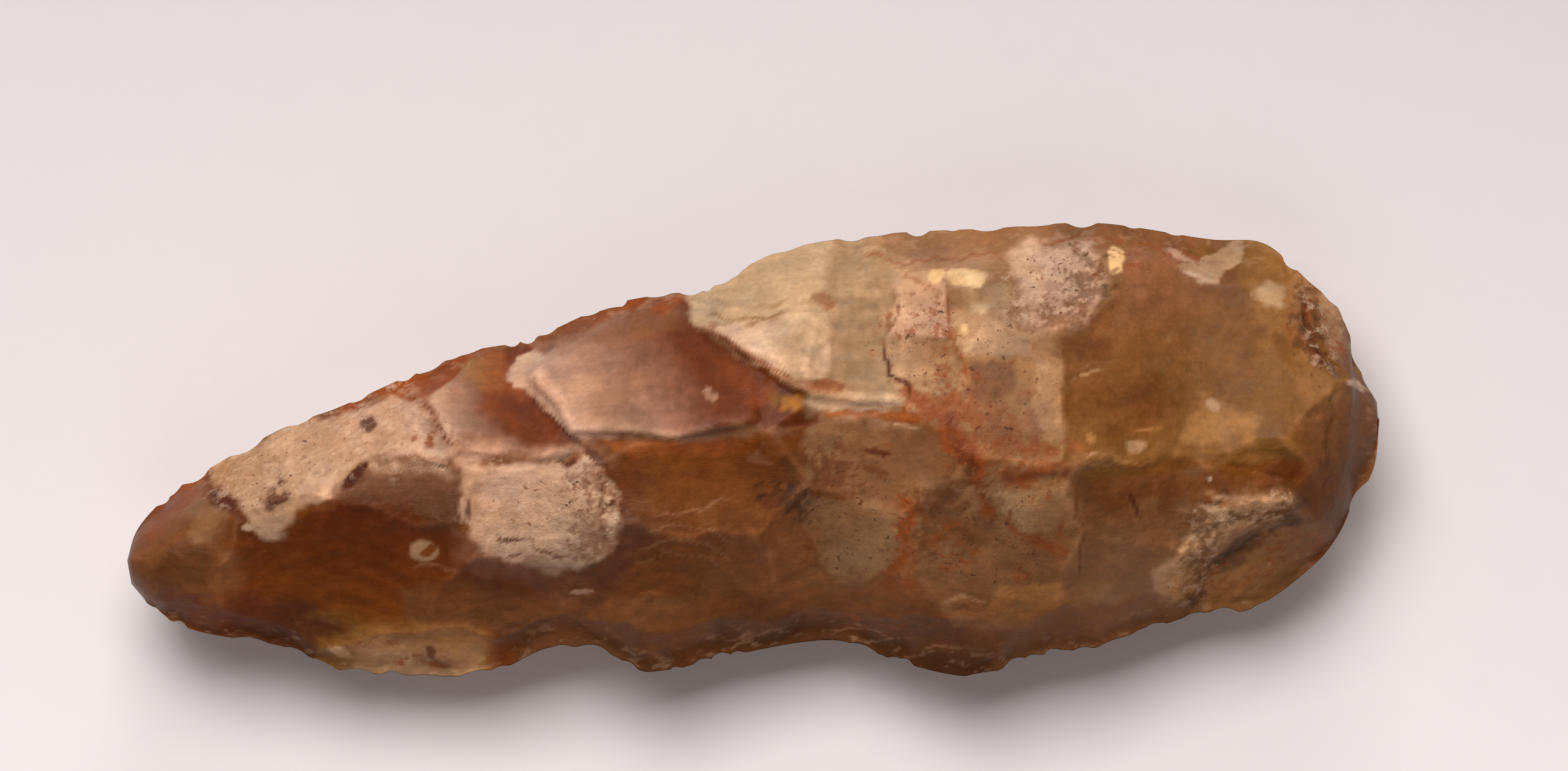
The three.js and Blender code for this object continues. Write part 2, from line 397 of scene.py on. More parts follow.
@dataclass(frozen=True)
class Hackle(Blow):
    """Fine ridges that fan out from the point that was struck."""

    count: int
    high: float
    stray = 3.0

    def height(self, x: Array, y: Array, shake: Array) -> Array:
        """The ridges' height.

        Args:
            x: Places along the stone.
            y: Places across it.
            shake: How far the ridges stray at each place.

        Returns:
            The height at each place.
        """
        _, angle, inside = self.seen_from(x, y, 1.5, 2.5, 8)
        phase = math.pi * self.count * angle / self.spread
        return 0.35 * self.high * inside * np.sin(phase + self.stray * shake)


@dataclass(frozen=True)
class Crack:
    """A thin groove along a broken line."""

    wide: float
    deep: float
    line: tuple[Point, ...]
    fade: float = 0.8

    def depth(self, x: Array, y: Array) -> Array:
        """How deep the groove is at each place."""
        away, ends = from_line(self.line, x, y, self.fade)
        return self.deep * ends * np.exp(-(away / self.wide) ** 2)


class OneTint:
    """A layer of a single colour."""

    tint: Tint

    def colour(self, x: Array, y: Array) -> Array:
        """The layer's colour, the same all over."""
        return self.tint.linear()


@dataclass(frozen=True)
class Patch(Oval, OneTint):
    """A patch of colour with a ragged rim; the higher square is, the boxier it is."""

    tint: Tint = Tint.BROWN
    strength: float = 1.0
    soft: float = 0.4
    ragged: float = 0.25
    grain: float = 2.5
    square: float = 2.0

    def cover(self, x: Array, y: Array, noise: Noise) -> Array:
        """How much of the patch's colour lies at each place, from 0 to 1."""
        edge = 1 - self.reach(x, y) + self.ragged * noise(x + 3 * self.x, y + 5 * self.y, self.grain, 4)
        return self.strength * eased(np.clip(edge / self.soft + 0.5 * self.ragged, 0, 1))


@dataclass(frozen=True)
class Streak(OneTint):
    """A line of colour with a ragged rim."""

    wide: float
    line: tuple[Point, ...]
    tint: Tint
    strength: float = 1.0
    ragged: float = 0.3
    fade: float = 1.0

    def cover(self, x: Array, y: Array, noise: Noise) -> Array:
        """How much of the line's colour lies at each place.

        Args:
            x: Places along the stone.
            y: Places across it.
            noise: The noise that makes its rim ragged.

        Returns:
            Shares from 0 to 1.
        """
        away, ends = from_line(self.line, x, y, self.fade)
        away = np.abs(away + self.ragged * noise(x, y, 1.6, 3)) / self.wide
        return self.strength * ends * np.clip(1.4 - away, 0, 1)


@dataclass(frozen=True)
class Facet:
    """A many-cornered field whose colour runs from one tint to another in the direction of its turn.

    The change of colour starts and stops at those shares of the field's length.
    """

    tint: Tint
    far_tint: Tint
    turn: float
    soft: float
    outline: tuple[Point, ...]
    strength: float = 1.0
    rise: float = 0.0
    start: float = 0.0
    stop: float = 1.0

    def inside(self, x: Array, y: Array) -> Array:
        """How far inside the outline places lie.

        Args:
            x: Places along the stone.
            y: Places across it.

        Returns:
            The distance to the outline, positive inside it.
        """
        distance = np.full(x.shape, np.inf)
        within = np.zeros(x.shape, bool)
        for a, b in zip(self.outline, (*self.outline[1:], self.outline[0])):
            distance = np.minimum(distance, to_stretch(a, b, x, y)[0])
            crossing = a[0] + (y - a[1]) * (b[0] - a[0]) / ((b[1] - a[1]) or 1e-9)
            within ^= ((a[1] > y) != (b[1] > y)) & (x < crossing)
        return np.where(within, distance, -distance)

    def cover(self, x: Array, y: Array, noise: Noise) -> Array:
        """How much of the field lies at each place, from 0 to 1."""
        ragged = (0.30 + 0.45 * self.soft) * noise(x + 7, y - 3, 2.2, 4)
        return self.strength * eased(np.clip((self.inside(x, y) + ragged) / self.soft + 0.5, 0, 1))

    def colour(self, x: Array, y: Array) -> Array:
        """The field's colour.

        Args:
            x: Places along the stone.
            y: Places across it.

        Returns:
            The colour at each place.
        """
        c, s = math.cos(math.radians(self.turn)), math.sin(math.radians(self.turn))
        ends = [px * c + py * s for px, py in self.outline]
        part = (x * c + y * s - min(ends)) / (max(ends) - min(ends))
        part = np.clip((part - self.start) / (self.stop - self.start), 0, 1)[..., None]
        return self.tint.linear() * (1 - part) + self.far_tint.linear() * part


FRONT_SCARS = [
    Scar(-46, -4.5, 5.5, 3, 40, 1),
    Scar(-45, -8.8, 6, 6, 0, 1.4),
    Scar(-46, -12.8, 5.5, 2.6, -25, 1),
    Scar(-36, -0.6, 10, 4.6, 25, 0.5),
    Scar(-27.6, 2, 4.6, 4, 20, 0.6),
    Scar(-19.8, 3, 8, 5.4, 14, 2),
    Scar(-8.2, 5.2, 13, 6.4, 4, 2.2),
    Scar(-0.5, 11.2, 7.5, 4.6, 22, 1.4),
    Scar(1.6, 8.2, 6, 4.4, 30, 1.3),
    Scar(8.2, 9.2, 6, 8.4, 0, 1.3),
    Scar(14, 9.2, 5, 7.2, -5, 1),
    Scar(20.5, 4.6, 6.4, 7.6, 0, 1),
    Scar(23.6, 12.6, 7.5, 4.8, 8, 1.1),
    Scar(33.6, 6.6, 12.5, 9, 0, 1.9),
    Scar(36.8, 15.4, 4.2, 3, 15, 1.1),
    Scar(42.2, 9.6, 5, 7.4, 12, 1.2),
    Scar(46.2, 9.6, 3.2, 5.2, 22, 1.1),
    Scar(46.8, -0.8, 5.2, 6.8, -3, 1.3),
    Scar(-25, 6, 5.5, 1.6, 18, 0.7),
    Scar(-12.5, 10.2, 6, 1.5, 22, 0.8),
    Scar(13.8, 16.2, 6.5, 1.7, -1, 0.8),
    Scar(27, 16.9, 8.5, 1.4, -2, 0.7),
    Scar(-33, -9.6, 12, 6.6, 2, 2.4),
    Scar(-27.6, -3.6, 7, 4, 2, 1.2),
    Scar(-16.8, -4.8, 8.6, 6.4, 0, 1),
    Scar(-4.6, -2.6, 10, 5.4, 6, 1.9),
    Scar(-8, -9.8, 13, 5.2, -4, 1.8),
    Scar(-21, -11.6, 9, 3.4, 6, 1.5),
    Scar(8.8, -1, 9, 5.2, -8, 1.1),
    Scar(6.4, -8, 7.4, 7.4, 5, 1.2),
    Scar(19, -7.6, 8.4, 8.4, 5, 1.3),
    Scar(31.6, -4.4, 8.4, 4.6, 0, 1.3),
    Scar(29, -10.8, 6.2, 6.6, 10, 1.2),
    Scar(40.8, -1.4, 6, 3.2, -3, 1),
    Scar(39.8, -9.2, 7, 5, 25, 2.3),
    Scar(-39.5, -14.2, 7, 2.4, -12, 1),
    Scar(-27, -16.4, 8.6, 2.8, 4, 1),
    Scar(-14.6, -15.8, 6.4, 3, 4, 1.7),
    Scar(-3.6, -15.4, 7.6, 2.8, 8, 1.1),
    Scar(6.6, -15.2, 5.6, 2.8, -4, 1.5),
    Scar(15.6, -15.6, 6.2, 3, 4, 1.1),
    Scar(24.6, -14.8, 6.2, 3, 14, 1),
]
LEDGES = [
    Ledge(1.3, 2.4, ((-15.6, 8.8), (-17.8, 5.8), (-14.2, 1.5), (-6, 1), (0.6, 2.2))),
    Ledge(0.7, 2, ((-26.8, 4), (-23.5, -0.2), (-14.2, -1))),
    Ledge(1, 2, ((-5.2, 10.2), (-0.8, 7.6), (4.6, 4.1), (12.2, 3.6))),
    Ledge(0.35, 1.8, ((19.4, -2.2), (28, -1), (42, 0.1), (44, -0.9))),
    Ledge(1.5, 2, ((35.2, -12.4), (36.4, -8.6), (40.2, -6), (43.6, -4.4))),
    Ledge(0.7, 1.8, ((46.9, 5.2), (43.9, 9.2), (43.6, 11))),
]
RIPPLES = [
    Ripple(-2, 16.2, 2, 6.4, -90, 60, 0.95, 0.07),
    Ripple(-7, -17, 3, 12, 88, 55, 1.25, 0.11),
    Ripple(-33, -17.5, 3.5, 11.5, 80, 50, 1.5, 0.08),
    Ripple(-20, -18, 2.5, 7, 90, 60, 1.1, 0.09),
    Ripple(6.5, -17, 2, 9, 90, 60, 1.15, 0.04),
    Ripple(17, -19, 3, 12, 92, 50, 1.35, 0.04),
    Ripple(24, 17.5, 6, 22, -50, 40, 1.7, 0.05),
    Ripple(41, -14, 2, 9, 112, 60, 1.15, 0.1),
    Ripple(51.5, 0.5, 2, 7, 180, 60, 1.3, 0.04),
    Ripple(-8, 13.5, 5, 13, -100, 50, 2.2, 0.03),
    Ripple(9, 18, 4, 14, -90, 30, 1.7, 0.04),
    Ripple(-5, 2, 1.5, 6.5, -85, 60, 1.4, 0.03),
]
HACKLES = [
    Hackle(5.3, 12.2, 1.2, 9, -142, 46, 9, 0.13),
    Hackle(-9, 15, 3, 13, -92, 44, 14, 0.07),
    Hackle(-18, 9.5, 2, 9, -100, 50, 9, 0.06),
    Hackle(8, 18.5, 3, 13, -90, 28, 8, 0.08),
    Hackle(33, -19, 3, 10, 90, 40, 9, 0.06),
    Hackle(-33, -19, 3, 10, 90, 40, 8, 0.05),
    Hackle(47, 15, 6, 22, -158, 22, 7, 0.06),
]
CRACKS = [
    Crack(0.13, 0.2, ((10.3, 7.8), (10.5, 6.2), (12.5, 4.5), (13.5, 4))),
    Crack(0.1, 0.22, ((15.4, 13.5), (15.8, 10), (16.3, 8), (16.5, 4.5))),
    Crack(0.12, 0.3, ((-25.5, -0.8), (-24, -1.3), (-23.2, -0.6))),
    Crack(0.12, 0.25, ((-16.8, -0.8), (-15, -1.1), (-13.2, 0.4))),
    Crack(0.12, 0.3, ((5, 12), (2, 11), (-1, 10.2))),
    Crack(0.13, 0.3, ((28.5, -3), (30, -4), (30.5, -6))),
    Crack(0.1, 0.12, ((20, -2.2), (22.2, -2.3), (24.5, -1.5))),
    Crack(0.11, 0.25, ((11.7, -4.5), (11.4, -6), (11.9, -7.5))),
    Crack(0.14, 0.35, ((44, 9), (45.3, 7), (46.3, 6))),
    Crack(0.12, 0.25, ((15, 1), (16.5, -0.4), (18, -2))),
    Crack(0.12, 0.22, ((37, -0.6), (40, -2), (43, -2.6))),
]

# Where the shown face is rough and rocky, crusted, stained with rust and speckled
ROCKY = (Oval(38.8, -4.8, 5.2, 1.7, 8), Oval(35, -8.8, 2.4, 4.6, -14), Oval(44.8, 9.4, 1.2, 3.6, 16))
CRUSTED = (Oval(-35.5, 0.6, 10.6, 4.3, 27), Oval(-17.2, -4.6, 6.4, 4.5, -6), Oval(23.6, 13, 5, 3.4, 24),
           Oval(-28, 0.4, 5, 3), *ROCKY)
STAINED = (Oval(18, -5, 8, 9), Oval(13, 6, 5, 7), Oval(40, -8, 7, 4, 20), Oval(-25, -16, 9, 2.4),
           Oval(44.6, 9.4, 2.4, 4.8, 16), Oval(30, 15.6, 8, 2), Oval(10, 2.8, 5, 1.2),
           Oval(-28, 5.4, 9, 2.4, 17))
SPECKLED = (Oval(23.6, 13, 6, 4.4, 24), Oval(-13.4, -4.8, 3.4, 4.4), Oval(8, -6.4, 7, 5.4),
            Oval(-38, -2.2, 4.6, 3, 30), Oval(20, 5.4, 4.6, 5), Oval(14, 8.6, 3.6, 5.4),
            Oval(19.6, -7.4, 6.6, 6))

# The shown face's colours, laid on in this order; a few facets, patches and streaks are painted shade and
# painted highlights at steps and rims
GROUND = [
    Patch(-6, 9, 30, 11, 12, Tint.PINK_BROWN, 0.9, 0.5, 0.2),
    Patch(12, 10, 14, 10, 0, Tint.TAN, 0.9, 0.5, 0.2),
    Patch(24, 8, 14, 12, 0, Tint.GREY_BROWN, 0.9, 0.5, 0.2),
    Patch(38, 8, 16, 12, 0, Tint.OLIVE, 0.9, 0.5, 0.2),
    Patch(-30, -12, 24, 9, 0, Tint.AMBER, 1, 0.4, 0.2),
    Patch(0, -8, 26, 10, 0, Tint.BROWN, 1, 0.4, 0.2),
    Patch(26, -8, 22, 10, 0, Tint.GREY_BROWN, 0.8, 0.4, 0.2),
]
FACETS = [
    Facet(Tint.AMBER_DEEP, Tint.AMBER, -90, 1.2, (
        (-41, -4.8), (-38, -6.8), (-35, -5), (-31, -3.2), (-27, -4.2), (-23.4, -6.4), (-18, -9.5),
        (-14, -11), (-22, -13), (-31, -13.5), (-36, -15.5), (-42, -14.6), (-41, -11))),
    Facet(Tint.RED_BROWN, Tint.BROWN_DARK, -60, 1, (
        (-42, -11.6), (-36, -11.8), (-33, -13), (-32, -15.5), (-34, -18), (-38, -17), (-44, -15))),
    Facet(Tint.OLIVE, Tint.OCHRE, 0, 2, (
        (-34.5, -15.4), (-32, -14), (-28, -13.4), (-23, -13.8), (-20.6, -15), (-21, -18.6), (-34, -18.4))),
    Facet(Tint.OCHRE, Tint.TAN, -90, 1.4, (
        (-31.6, -15.4), (-29, -14.6), (-26, -14.8), (-23, -15.2), (-21.6, -16.4), (-22.6, -18.4),
        (-32, -18.4))),
    Facet(Tint.BROWN, Tint.UMBER, -90, 0.8, (
        (-28, -11.2), (-22, -10.6), (-15.5, -11.2), (-15, -13), (-19, -15), (-23, -13.8), (-28, -13.4))),
    Facet(Tint.UMBER, Tint.BROWN, -90, 1, (
        (-16, -11.4), (-9, -11.3), (-5, -11.2), (-2, -13), (-4, -18), (-18, -18), (-19, -14.6),
        (-15.6, -13))),
    Facet(Tint.BROWN, Tint.BROWN, -90, 1.8, (
        (-9.8, -4.6), (-5, -4.8), (-1, -3.8), (2, -7), (1, -11), (-9, -11.2), (-14, -10.6), (-11, -8.4))),
    Facet(Tint.BROWN, Tint.UMBER, -60, 1, (
        (0.8, 0.4), (4.6, 1.8), (4.2, -3), (5, -8), (5, -12), (-4, -14), (-4, -10), (0, -4))),
    Facet(Tint.AMBER, Tint.BROWN, -90, 1.6, (
        (-12.2, 0.9), (-4, 0.7), (0.4, 0.5), (4.2, 1.9), (3.4, -1), (2, -3.6), (-2, -3.5), (-5, -4.7),
        (-8.6, -5.2), (-9.8, -3), (-11, -1))),
    Facet(Tint.ORANGE, Tint.RUST, 0, 0.5, (
        (-12.2, 1), (-4, 0.8), (0, 0.7), (-1, -0.3), (-6, -0.5), (-11, -0.2)), 0.85),
    Facet(Tint.BROWN, Tint.BROWN_DARK, -90, 1.4, (
        (-3, -12), (5, -10.5), (14, -10.6), (15, -13), (20, -15), (18, -19), (8, -18), (-4, -18))),
    Facet(Tint.GREY_BROWN, Tint.UMBER, 0, 1.2, (
        (4.4, 2.4), (13.6, 2), (15.4, 1.6), (16.8, -1), (17.6, -2.6), (13.2, -2.4), (12.4, -4.4),
        (10, -4.6), (6, -3.4), (4, -2.6))),
    Facet(Tint.GREY_BROWN, Tint.GREY_OLIVE, -60, 0.7, (
        (4, -3), (10, -4), (12, -5), (12, -9), (8.4, -10.6), (6, -9.8), (4.4, -6.4)), 0.65, 0.05),
    Facet(Tint.UMBER, Tint.UMBER, 0, 2.4, (
        (1.6, -5.6), (4.6, -6.4), (6.4, -10.2), (12.4, -9), (14.6, -12.4), (10, -13.6), (2, -12.6)), 0.7),
    Facet(Tint.GREY_BROWN, Tint.UMBER, -75, 1.6, (
        (13.4, -2.6), (25.4, -2.6), (25.9, -5), (25.8, -10), (25, -14.6), (19, -14.4), (14, -12),
        (12.4, -8)), 0.85, 0.05),
    Facet(Tint.GREY_OLIVE, Tint.GREY_BROWN, 0, 0.4, (
        (18.6, -3.2), (25.2, -2.8), (25.4, -6), (21.4, -6.6), (19.4, -5)), 0.8, 0.06),
    Facet(Tint.OCHRE, Tint.UMBER, -90, 0.8, (
        (19.4, -10.8), (24.6, -10.4), (25, -14), (20.6, -15.2), (18.6, -13)), 0.8),
    Facet(Tint.UMBER, Tint.UMBER, -20, 0.9, (
        (25, -12.6), (31, -11.4), (36, -12.4), (34, -15), (27, -18), (19, -19), (20.6, -15.4))),
    Facet(Tint.UMBER, Tint.GREY_BROWN, -90, 0.7, (
        (25.8, -3.6), (30, -4.2), (36, -4.6), (34.4, -6.6), (33.6, -9.4), (31.6, -11.6), (27, -12.6),
        (25.8, -10))),
    Facet(Tint.BROWN, Tint.AMBER, 0, 2.2, (
        (25.8, -1.4), (36, -0.9), (43.4, -0.6), (44.2, -1), (43.8, -3), (38, -3.4), (36, -4.6), (30, -4.4),
        (26, -3.6)), 0.8),
    Facet(Tint.OLIVE, Tint.AMBER, 0, 0.5, (
        (25.4, -0.9), (36, -0.4), (39.6, 0.2), (43.4, 0.3), (44.2, -1), (41, -1.6), (36, -1.6), (30, -1.9),
        (26, -1.8)), 0.8),
    Facet(Tint.OCHRE, Tint.UMBER, -40, 0.8, (
        (36.4, -8), (37.9, -7.2), (39.8, -5.8), (41, -4.5), (44, -4.8), (46.8, -6.6), (46, -10), (40, -14),
        (35.2, -12.8), (36, -10.2))),
    Facet(Tint.UMBER, Tint.UMBER, 0, 0.7, (
        (46.6, 5.2), (49.8, 5), (50.6, 2.4), (50.2, -1.6), (48.4, -4.8), (47.4, -7), (45.2, -5),
        (45.2, -1), (46.2, 2)), 1, -0.06),
    Facet(Tint.TAN, Tint.PINK_CREAM, 10, 0.9, (
        (-43.4, -1.2), (-43.1, -2.2), (-41.6, -3.4), (-40.2, -5), (-39, -6.6), (-37.4, -6.6), (-35.8, -5),
        (-33.6, -4), (-32.4, -2.2), (-30.4, -0.8), (-27, -0.6), (-24.4, -0.8), (-23.4, -0.2), (-24.4, 1.4),
        (-26, 3), (-27.2, 3.7), (-29, 4.2), (-30.4, 3.7), (-31.8, 2.9), (-35.4, 2.8), (-37.2, 2.2),
        (-43.2, -0.8)), 1, 0.12),
    Facet(Tint.BROWN_DARK, Tint.PINK_BROWN, 95, 1.6, (
        (-30.2, -1), (-24.4, -1), (-23, -2.2), (-22.8, -4.6), (-23.2, -6.8), (-25, -6.2), (-27, -4.8),
        (-29.8, -3.8), (-33, -3.6), (-31, -2)), 1, 0, 0.3, 1),
    Facet(Tint.TAN, Tint.PINK_CREAM, 0, 0.8, (
        (-30.4, -0.9), (-24.4, -1), (-23.6, -1.9), (-27, -1.7), (-30.6, -1.6)), 0.8),
    Facet(Tint.RUST, Tint.RUST, 0, 0.4, (
        (-36, 2.8), (-33, 3.9), (-28, 6.2), (-23.2, 8.4), (-20.6, 8.4), (-22.6, 6.8), (-24.4, 5.2),
        (-26, 4.3), (-27.2, 4), (-29, 4.5), (-30.4, 4), (-32, 3.1))),
    Facet(Tint.PINK_CREAM, Tint.RED_BROWN, 20, 0.35, (
        (-26.2, 4), (-24.2, 5.2), (-23, 6.9), (-21.2, 8), (-17.5, 9.4), (-17.3, 4.2), (-16, 3), (-14, 1.2),
        (-13.2, 0.4), (-14.5, -0.9), (-16, -0.7), (-23.3, -0.5), (-24.3, 1.4)), 1, -0.12, 0.08, 0.5),
    # The rust-red scar's own colour, with painted shade darkening it towards the foot of the big scar's rim
    Facet(Tint.RUST, Tint.RED_BROWN, -40, 2.4, (
        (-21.4, 4.6), (-18.2, 6.4), (-17.2, 3.6), (-15.4, 2), (-19, 1.8), (-21.8, 2.8))),
    Facet(Tint.PINK_CREAM, Tint.PINK_BROWN, 90, 1.4, (
        (-23.5, -0.6), (-24, 1.2), (-20, 1), (-16, 0.7), (-13.8, 0.2), (-14.6, -0.8), (-17, -0.7))),
    Facet(Tint.OCHRE, Tint.RUST, 0, 0.9, (
        (-23, 7), (-23.6, 5.4), (-21.5, 4.8), (-19.6, 5.2), (-19.4, 7.4), (-20, 8.4), (-21.4, 8)), 0.7),
    Facet(Tint.PINK_CREAM, Tint.CREAM, 60, 0.3, (
        (-19.4, 6.4), (-18.8, 7.6), (-17.4, 8), (-16.6, 7.5), (-17.4, 6.2), (-17.9, 5), (-18.9, 5),
        (-19.4, 5.6)), 1, 0.12),
    # The big scar: its pink cream left part is partly the flint's pinkish skin and partly a painted sheen; it
    # runs to red brown on the right
    Facet(Tint.PINK_CREAM, Tint.RED_BROWN, 30, 0.35, (
        (-18, 5), (-17.2, 6.9), (-15.8, 8.3), (-13, 9.6), (-10.9, 10.7), (-8, 11.9), (-6, 12.7),
        (-4.4, 11.6), (-4.5, 9.6), (-2.4, 8.6), (0, 7), (2.2, 5.6), (4, 4.4), (5, 3), (5, 2.2), (2.4, 1.6),
        (-1, 1.2), (-4, 0.8), (-9, 0.9), (-13.8, 1.2), (-16, 3)), 1, -0.1, 0.05, 0.66),
    # Painted highlight along the big scar's lower rim
    Facet(Tint.PINK_CREAM, Tint.UMBER, 0, 0.6, (
        (-14, 1.2), (-9, 0.9), (-4, 0.8), (-1, 1.2), (1, 1.5), (-1, 1.9), (-4, 1.7), (-9, 1.9),
        (-14.6, 2.2)), 0.85),
    # Painted shade on the steep wall below the pale scar's step
    Facet(Tint.RED_BROWN, Tint.RUST, -90, 0.6, (
        (-4.6, 9.4), (-2.4, 8.4), (0, 6.9), (2, 5.7), (2, 4.2), (0, 3.6), (-1.5, 5), (-3, 7),
        (-4.4, 8.2)), 0.8),
    Facet(Tint.PINK_BROWN, Tint.UMBER, 0, 1.2, (
        (-16, 8.4), (-12, 9.8), (-8, 11.8), (-6, 12.7), (-5, 11), (-6, 9.4), (-10, 8.8), (-14, 8.2)), 0.8),
    Facet(Tint.UMBER, Tint.RUST, 0, 0.5, (
        (-21, 8.3), (-17, 9.6), (-12, 12), (-8, 13), (-8.4, 11.7), (-12, 10), (-16, 8.5), (-18.4, 8))),
    Facet(Tint.PALE_GREEN, Tint.PALE_GREEN, 60, 0.5, (
        (-4.8, 9.8), (-5.4, 12.8), (-3, 13.8), (2, 16.4), (6.6, 17.2), (6.4, 12), (4.2, 11.2), (2.6, 11),
        (-1, 9.8), (-3.4, 9.9))),
    Facet(Tint.CREAM, Tint.PALE_GREEN, 50, 0.35, (
        (-4.4, 10), (-1, 9.7), (2.6, 10.9), (4.2, 11.3), (6, 11.2), (6.3, 9), (5.4, 8.2), (4.2, 6.4),
        (3.4, 5.9), (1.8, 6.8), (0.6, 7.2), (-0.8, 7.9), (-2.6, 9.1)), 1, 0.16),
    Facet(Tint.GREY_OLIVE, Tint.GREY_OLIVE, 110, 1.5, (
        (6.2, 11), (6.5, 16), (8.2, 17.6), (11, 16.6), (11.3, 13), (11, 11.5), (10.4, 8.5), (10, 6.8),
        (11.6, 5.4), (12.2, 4.2), (11.8, 3.4), (9, 3.2), (6, 3.1), (4.7, 3.8), (6, 5.4), (6.4, 7))),
    Facet(Tint.CREAM, Tint.GREY_OLIVE, 90, 0.6, (
        (4.6, 3.9), (6, 3.2), (9, 3.2), (12, 3.4), (12, 4.6), (8, 4.6), (6, 5))),
    Facet(Tint.CREAM, Tint.CREAM, 0, 0.5, (
        (4, 5.9), (4.4, 7.4), (6, 8.8), (6.6, 7.6), (6.1, 6.4), (5, 5.8))),
    Facet(Tint.GREY_BROWN, Tint.UMBER, 0, 1, (
        (8, 17.4), (11, 18), (20, 18.8), (27.5, 19), (37, 18), (36, 15.8), (30, 15.4), (29.5, 16.5),
        (21.5, 16.9), (20, 15.2), (12, 14.8), (11, 15.8)), 0.85),
    Facet(Tint.TAN, Tint.PINK_CREAM, -60, 0.35, (
        (11.4, 14.5), (14.2, 14.4), (15.4, 12.9), (15.5, 9), (11.2, 8.9), (10.6, 8.6),
        (11.3, 11.4)), 1, 0.1),
    Facet(Tint.TAN, Tint.GREY_BROWN, 40, 0.5, (
        (10.5, 8.6), (15.5, 9), (16.4, 8.4), (16.5, 5), (14, 4.6), (12.4, 5), (10.7, 6.2)), 1, -0.08),
    Facet(Tint.GREY_BROWN, Tint.GREY_OLIVE, 0, 0.6, (
        (15.6, 12.8), (18, 12.9), (20.4, 13.6), (21, 11.4), (19.5, 10.4), (16.6, 10.8), (15.6, 11.6))),
    Facet(Tint.TAN, Tint.GREY_BROWN, 0, 0.7, (
        (15.6, 10.8), (21, 10.6), (21, 9.6), (24, 9.2), (24.6, 7), (20, 7), (16.4, 7.4), (15.6, 9))),
    Facet(Tint.OCHRE, Tint.GREY_BROWN, -60, 0.5, (
        (16.4, 7.6), (20, 7.2), (24.4, 7.2), (24.4, -0.8), (20, -1.2), (17.4, -0.6), (15.2, 1.8),
        (16.8, 4.8)), 1, 0.1),
    Facet(Tint.UMBER, Tint.UMBER, 0, 0.7, (
        (16.6, 7.2), (20.6, 7), (20.8, 4.8), (19, 3.6), (16.8, 4.2)), 0.85),
    Facet(Tint.TAN, Tint.OCHRE, -90, 0.5, ((22.2, 7.4), (24.4, 7.2), (24.4, -0.4), (22.8, -0.2)), 0.6),
    Facet(Tint.UMBER, Tint.OLIVE, -70, 0.3, (
        (24.4, 6.4), (24.6, 9), (28.5, 12.4), (30, 15.2), (36, 16), (39, 16.3), (42, 14), (44, 9),
        (45.4, 5), (45, 0), (43.6, -1), (36, -0.6), (28, -0.9), (24.4, -0.8))),
    Facet(Tint.PINK_BROWN, Tint.UMBER, -60, 1.6, (
        (28.2, 12), (29.5, 15.4), (34, 15.4), (36, 13.4), (33, 9.6), (28, 9)), 0.5),
    Facet(Tint.OLIVE, Tint.OLIVE, 0, 2.6, ((39.8, 8.6), (43, 8.4), (43.4, 3), (40, 2.6)), 0.7),
    Facet(Tint.OCHRE, Tint.OCHRE, -50, 1.5, (
        (34.1, 1), (35, 3.2), (35.6, 4.4), (37, 4.3), (38, 3.2), (39.8, 2.4), (39.8, 0.4), (36, 0)), 0.8),
    Facet(Tint.OLIVE, Tint.OCHRE, 0, 0.9, (
        (38.6, 17), (41, 17), (44.6, 13.6), (44, 9), (41, 9.6), (39.4, 12.6), (38.2, 13.6)), 0.85),
    Facet(Tint.OCHRE, Tint.GREY_BROWN, -60, 1.8, (
        (43, 9), (44.2, 8.4), (46.2, 5.4), (46.4, 3.2), (45, 1.2), (43.2, 3)), 0.6),
    Facet(Tint.UMBER, Tint.BROWN, -90, 2.4, ((43.4, 2), (47, 3), (47.4, -6), (43.6, -5), (43.8, -1)), 0.8),
    Facet(Tint.GREY_BROWN, Tint.UMBER, -90, 1.3, (
        (43.3, 13.4), (45.2, 13.4), (45.4, 9), (44.6, 7.6), (43.4, 8.8)), 0.9),
    Facet(Tint.TAN, Tint.MAUVE, -30, 0.5, (
        (45.2, 13.4), (46, 13), (48.2, 10), (48.2, 7.4), (46.9, 6), (45.6, 8.4)), 0.9, -0.12),
    Facet(Tint.GREY_OLIVE, Tint.TAN, -60, 0.3, (
        (33.9, 14.7), (35.4, 15.8), (38.9, 16.9), (38.8, 15.2), (37.8, 14.6), (37.2, 13.2),
        (35.5, 13.5)), 1, 0.14),
    Facet(Tint.CREAM, Tint.PINK_CREAM, -60, 1.5, (
        (20.3, 15.5), (21.5, 16.7), (27.2, 16.6), (27.6, 15.2), (28.3, 13.6), (28.2, 12), (26, 10.6),
        (24, 9.4), (21, 9.8), (21.5, 11.4), (20.6, 13)), 0.9, 0.06),
    # Painted shadow round the right and lower sides of the raised cream cortex patch
    Facet(Tint.PURPLE, Tint.RED_BROWN, 90, 2.8, (
        (-10.8, -1), (-8.6, -2.4), (-8.2, -6.6), (-9.6, -9.4), (-13, -11), (-19, -10.9), (-23.6, -8.4),
        (-23, -6), (-16, -8)), 0.6),
    Facet(Tint.PINK_CREAM, Tint.CREAM, -30, 0.55, (
        (-22.9, -1.1), (-19, -0.8), (-16, -0.8), (-14.5, -1.3), (-13.2, -0.4), (-12.4, -0.6),
        (-11.6, -1.8), (-10.8, -2.8), (-10.3, -4.2), (-10.3, -5.6), (-10.9, -7.2), (-11.8, -8.5),
        (-14, -9.4), (-16, -9.7), (-17.6, -9.2), (-19.4, -8.6), (-21, -8.1), (-22.2, -7), (-22.9, -5.2),
        (-23.1, -3)), 1, 0.12),
    Facet(Tint.TAN, Tint.OCHRE, -60, 0.5, (
        (36.2, -3.6), (41.7, -3.4), (43.3, -4.2), (40.9, -4.8), (39.8, -6), (37.9, -7.4), (36.4, -8.3),
